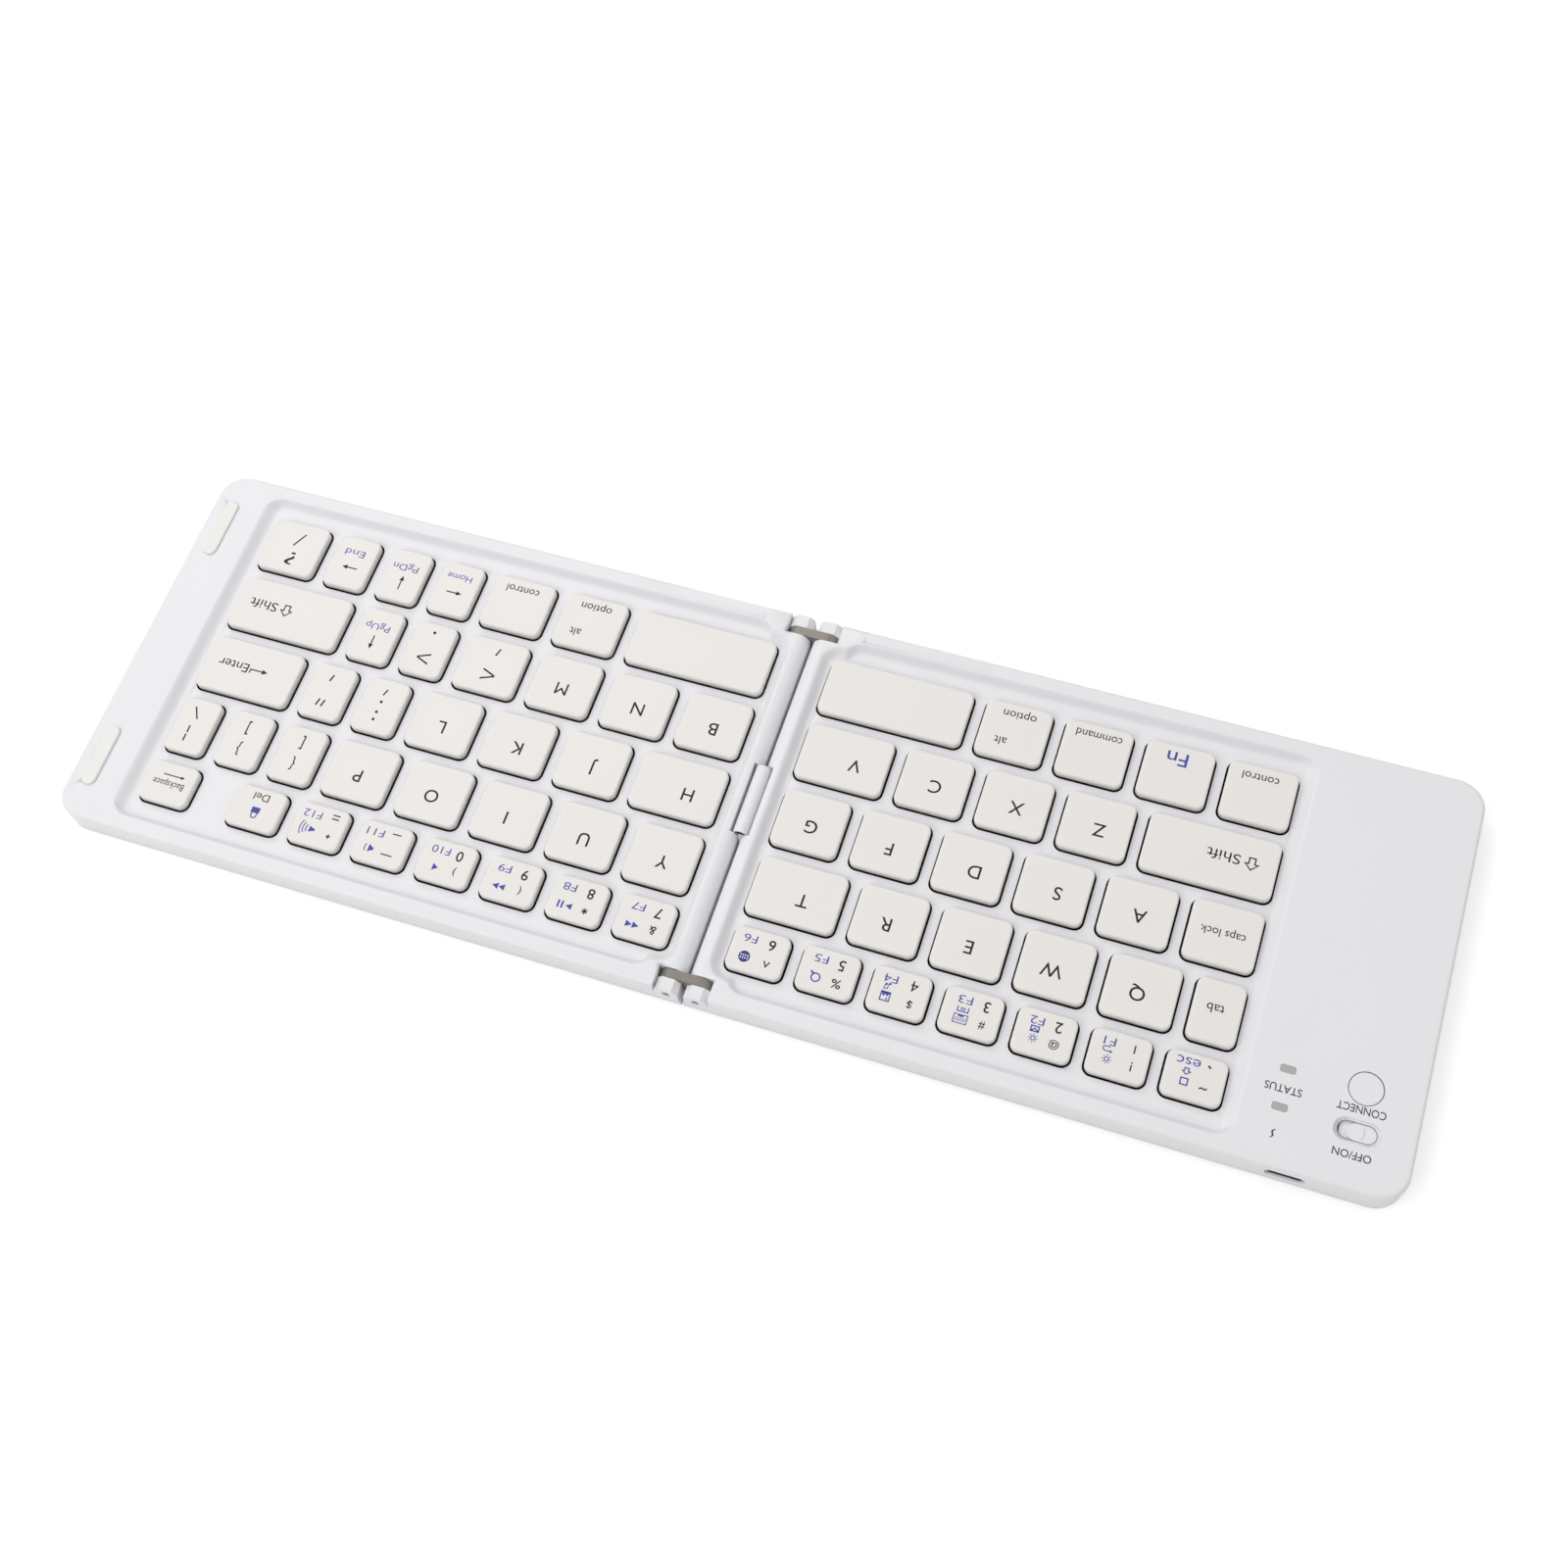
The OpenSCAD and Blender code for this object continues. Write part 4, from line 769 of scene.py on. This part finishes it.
legends["right_punctuation_keys"] = [
    black(fill("{", 0.0, 2.3, 0.95, 3.5, FULL), fill("[", 0.05, -3.15, 0.75, 3.5, FULL)),
    black(fill("}", 0.25, 2.35, 0.95, 3.6, FULL), fill("]", 0.2, -3.05, 0.75, 3.5, FULL)),
    black(line((0.6, 0.2), (0.6, 2.0), w=0.36), line((0.6, 2.45), (0.6, 4.2), w=0.36),
          line((-0.2, -1.75), (1.35, -4.7), w=0.34)),
    black(disc(0.2, 3.65, 0.36), disc(0.2, 1.7, 0.36), disc(0.16, -1.0, 0.36),
          line((0.45, -2.7), (-0.15, -4.35), w=0.36)),
    black(line((-0.1, 4.0), (-0.5, 2.2), w=0.4), line((1.2, 4.0), (0.8, 2.2), w=0.4),
          line((0.55, -2.65), (0.05, -4.4), w=0.4)),
    black(fill("<", -0.4, 2.45, 3.2, 3.0, FINE), line((-0.2, -2.75), (-0.8, -4.65), w=0.38)),
    black(fill(">", 0.1, 2.5, 3.1, 3.0, FINE), disc(0.05, -4.45, 0.38)),
    black(fill("?", -0.45, 3.05, 2.2, 3.5, FINE), line((0.3, -0.5), (-1.65, -4.1), w=0.36))]

SUNK = 0.01      # how far print goes into the surface under it
for name in [n for n in nodes if n not in finish_of]:
    caps = caps_in(name)
    shells = [cap_shell(*cap) for cap in caps]
    verts, faces = joined([shell[:2] for shell in shells])
    piece = make(name + "_cap", verts, faces, [CAP, SKIRT_SHADE], all_of(shell[3] for shell in shells))
    touch = piece.data.attributes.new("touch", "FLOAT", "POINT")
    touch.data.foreach_set("value", np.concatenate([shell[2] for shell in shells]))
    dress(piece, body_of[name], "keycap", name)
    marks, inks = [], []
    for (x, y, w, d), items in zip(caps, legends.get(name, [])):
        for v, f, ink in items:
            marks.append((v + [x, y, KEY_TOP - SUNK], f))
            inks += [ink] * len(f)
    if marks:
        verts, faces = joined(marks)
        dress(make(name + "_legend", verts, faces, [INK, BLUE], inks, smooth=False), body_of[name], "keycap")


# ---------- control panel ----------

SWITCH, BUTTON = (-140.0, 35.55), (-140.0, 26.25)
SLOT_LENGTH, SLOT_WIDTH, SLOT_SHADE_Z = 7.92, 3.82, 7.735
PANEL_WORDS = (("OFF/ON", -139.85, 40.5, 1.6, 7.75), ("CONNECT", -139.95, 30.9, 1.62, 9.8),
               ("STATUS", -124.25, 31.05, 1.62, 7.5))


def raised(x, y, z, marks):
    return [(v + [x, y, z], f) for v, f in marks]


flash = blot((0.5, 1.1), (0.0, 0.8), (-0.25, 0.4), (0.05, -0.4), (-0.5, -0.95), (0.05, -0.85), (0.4, -0.35),
             (0.12, 0.45))
panel = all_of(raised(x, y, PANEL_TOP - SUNK, write(text, 0, 0, height, width, FIRM))
               for text, x, y, height, width in PANEL_WORDS)
panel += raised(-124.2, 40.65, PANEL_TOP - SUNK, flash)
dress(make("panel_words", *joined(panel), [GREY], smooth=False), "left_half", "case_top")

# the shaded gaps round the switch and the button
slot_shade = line(*round_rect(SLOT_LENGTH, SLOT_WIDTH, SLOT_WIDTH / 2 - 0.01), w=0.13, closed=True)
button_shade = ring(0, 0, 3.6, w=0.12)
shades = raised(*SWITCH, SLOT_SHADE_Z, slot_shade) + raised(*BUTTON, PANEL_TOP - 0.024, button_shade)
dress(make("control_gaps", *joined(shades), [GAP], smooth=False), "left_half", "case_top")

# the strip behind the knob that closes the open end of its slot: a short step that stays in the
# panel's pocket, and a lower one that slides on under the panel
STRIP_STEPS = ((-137.1, 1.2, 6.9, 7.05), (-136.6, 2.2, 6.3, 6.45))      # middle, length, underside, top
STRIP_WIDTH = 5.0
steps = [(v * [1, 1, (top - under) / PRINT] + [x, SWITCH[1], under], f)
         for x, length, under, top in STRIP_STEPS for v, f in blot(*oblong(0, 0, length, STRIP_WIDTH))]
dress(make("switch_strip", *joined(steps), [CONTROL], smooth=False), "power_switch", "controls")


# ---------- stage, light and camera ----------

FLOOR_REACH = 3.0      # from its middle to its edges, in metres
# how strongly the floor itself shows white, at each distance in metres from the object
NEAR, NEAR_WHITE, FAR, FAR_WHITE = 0.5, 0.4, 1.6, 0.85


def floor():
    """A plain white surface that keeps the object's shadow and meets the white of the background."""
    mesh = bpy.data.meshes.new("floor")
    corners = [(x * FLOOR_REACH, y * FLOOR_REACH, 0) for x, y in ((-1, -1), (1, -1), (1, 1), (-1, 1))]
    mesh.from_pydata(corners, [], [(0, 1, 2, 3)])
    mat = bpy.data.materials.new("floor_white")
    mat.use_nodes = True
    g = Graph(mat.node_tree)
    bsdf = g.nodes["Principled BSDF"]
    bsdf.inputs["Base Color"].default_value = (0.8, 0.8, 0.8, 1)
    bsdf.inputs["Roughness"].default_value = 0.9
    bsdf.inputs["Specular IOR Level"].default_value = 0.0
    path = g.node("ShaderNodeLightPath").outputs
    seen = g.math("MAXIMUM", path["Is Camera Ray"], path["Is Glossy Ray"])
    away = g.node("ShaderNodeVectorMath", {0: g.place()}, operation="LENGTH").outputs["Value"]
    white = g.node("ShaderNodeMapRange", {
        "Value": away, "From Min": NEAR, "From Max": FAR,
        "To Min": NEAR_WHITE, "To Max": FAR_WHITE}).outputs[0]
    bsdf.inputs["Emission Color"].default_value = (1, 1, 1, 1)
    g.link(g.math("MULTIPLY", seen, white), bsdf.inputs["Emission Strength"])
    mesh.materials.append(mat)
    obj = bpy.data.objects.new("floor", mesh)
    bpy.context.scene.collection.objects.link(obj)


def lamp(name, place, size, power):
    """A square soft light at `place`, in metres, that faces the object."""
    data = bpy.data.lights.new(name, "AREA")
    data.size = size
    data.energy = power
    obj = bpy.data.objects.new(name, data)
    bpy.context.scene.collection.objects.link(obj)
    x, y, z = place
    obj.location = place
    obj.rotation_euler = (0, math.acos(z / math.hypot(x, y, z)), math.atan2(y, x))


floor()
lamp("window", (0.45, 0.6, 0.8), 0.8, 4.6)
lamp("fill", (0.45, -0.55, 0.75), 0.6, 2.6)
lamp("card", (-0.9, -0.5, 1.3), 1.0, 2.6)

ROOM_LIGHT, BACKGROUND = 0.5, 1.0      # what the world gives the object, and how white it shows
world = bpy.data.worlds.new("studio")
bpy.context.scene.world = world
world.use_nodes = True
room = Graph(world.node_tree)
sky = room.nodes["Background"]
sky.inputs["Color"].default_value = (1, 1, 1, 1)
sight = room.node("ShaderNodeLightPath").outputs["Is Camera Ray"]
level = room.node("ShaderNodeMapRange", {"Value": sight, "To Min": ROOM_LIGHT, "To Max": BACKGROUND})
room.link(level.outputs[0], sky.inputs["Strength"])

# the camera that was fitted to the photograph: it stands behind the keyboard, a little to one side
camera = bpy.data.objects.new("camera", bpy.data.cameras.new("camera"))
camera.data.lens = 45.07
camera.data.sensor_width = 36.0
camera.data.clip_start = 0.01
camera.location = (-0.092362, 0.166095, 0.397009)
camera.rotation_euler = Euler((0.4532294, 0.0720061, -2.8205429))
bpy.context.scene.collection.objects.link(camera)
bpy.context.scene.camera = camera
bpy.context.scene.view_settings.view_transform = "Standard"
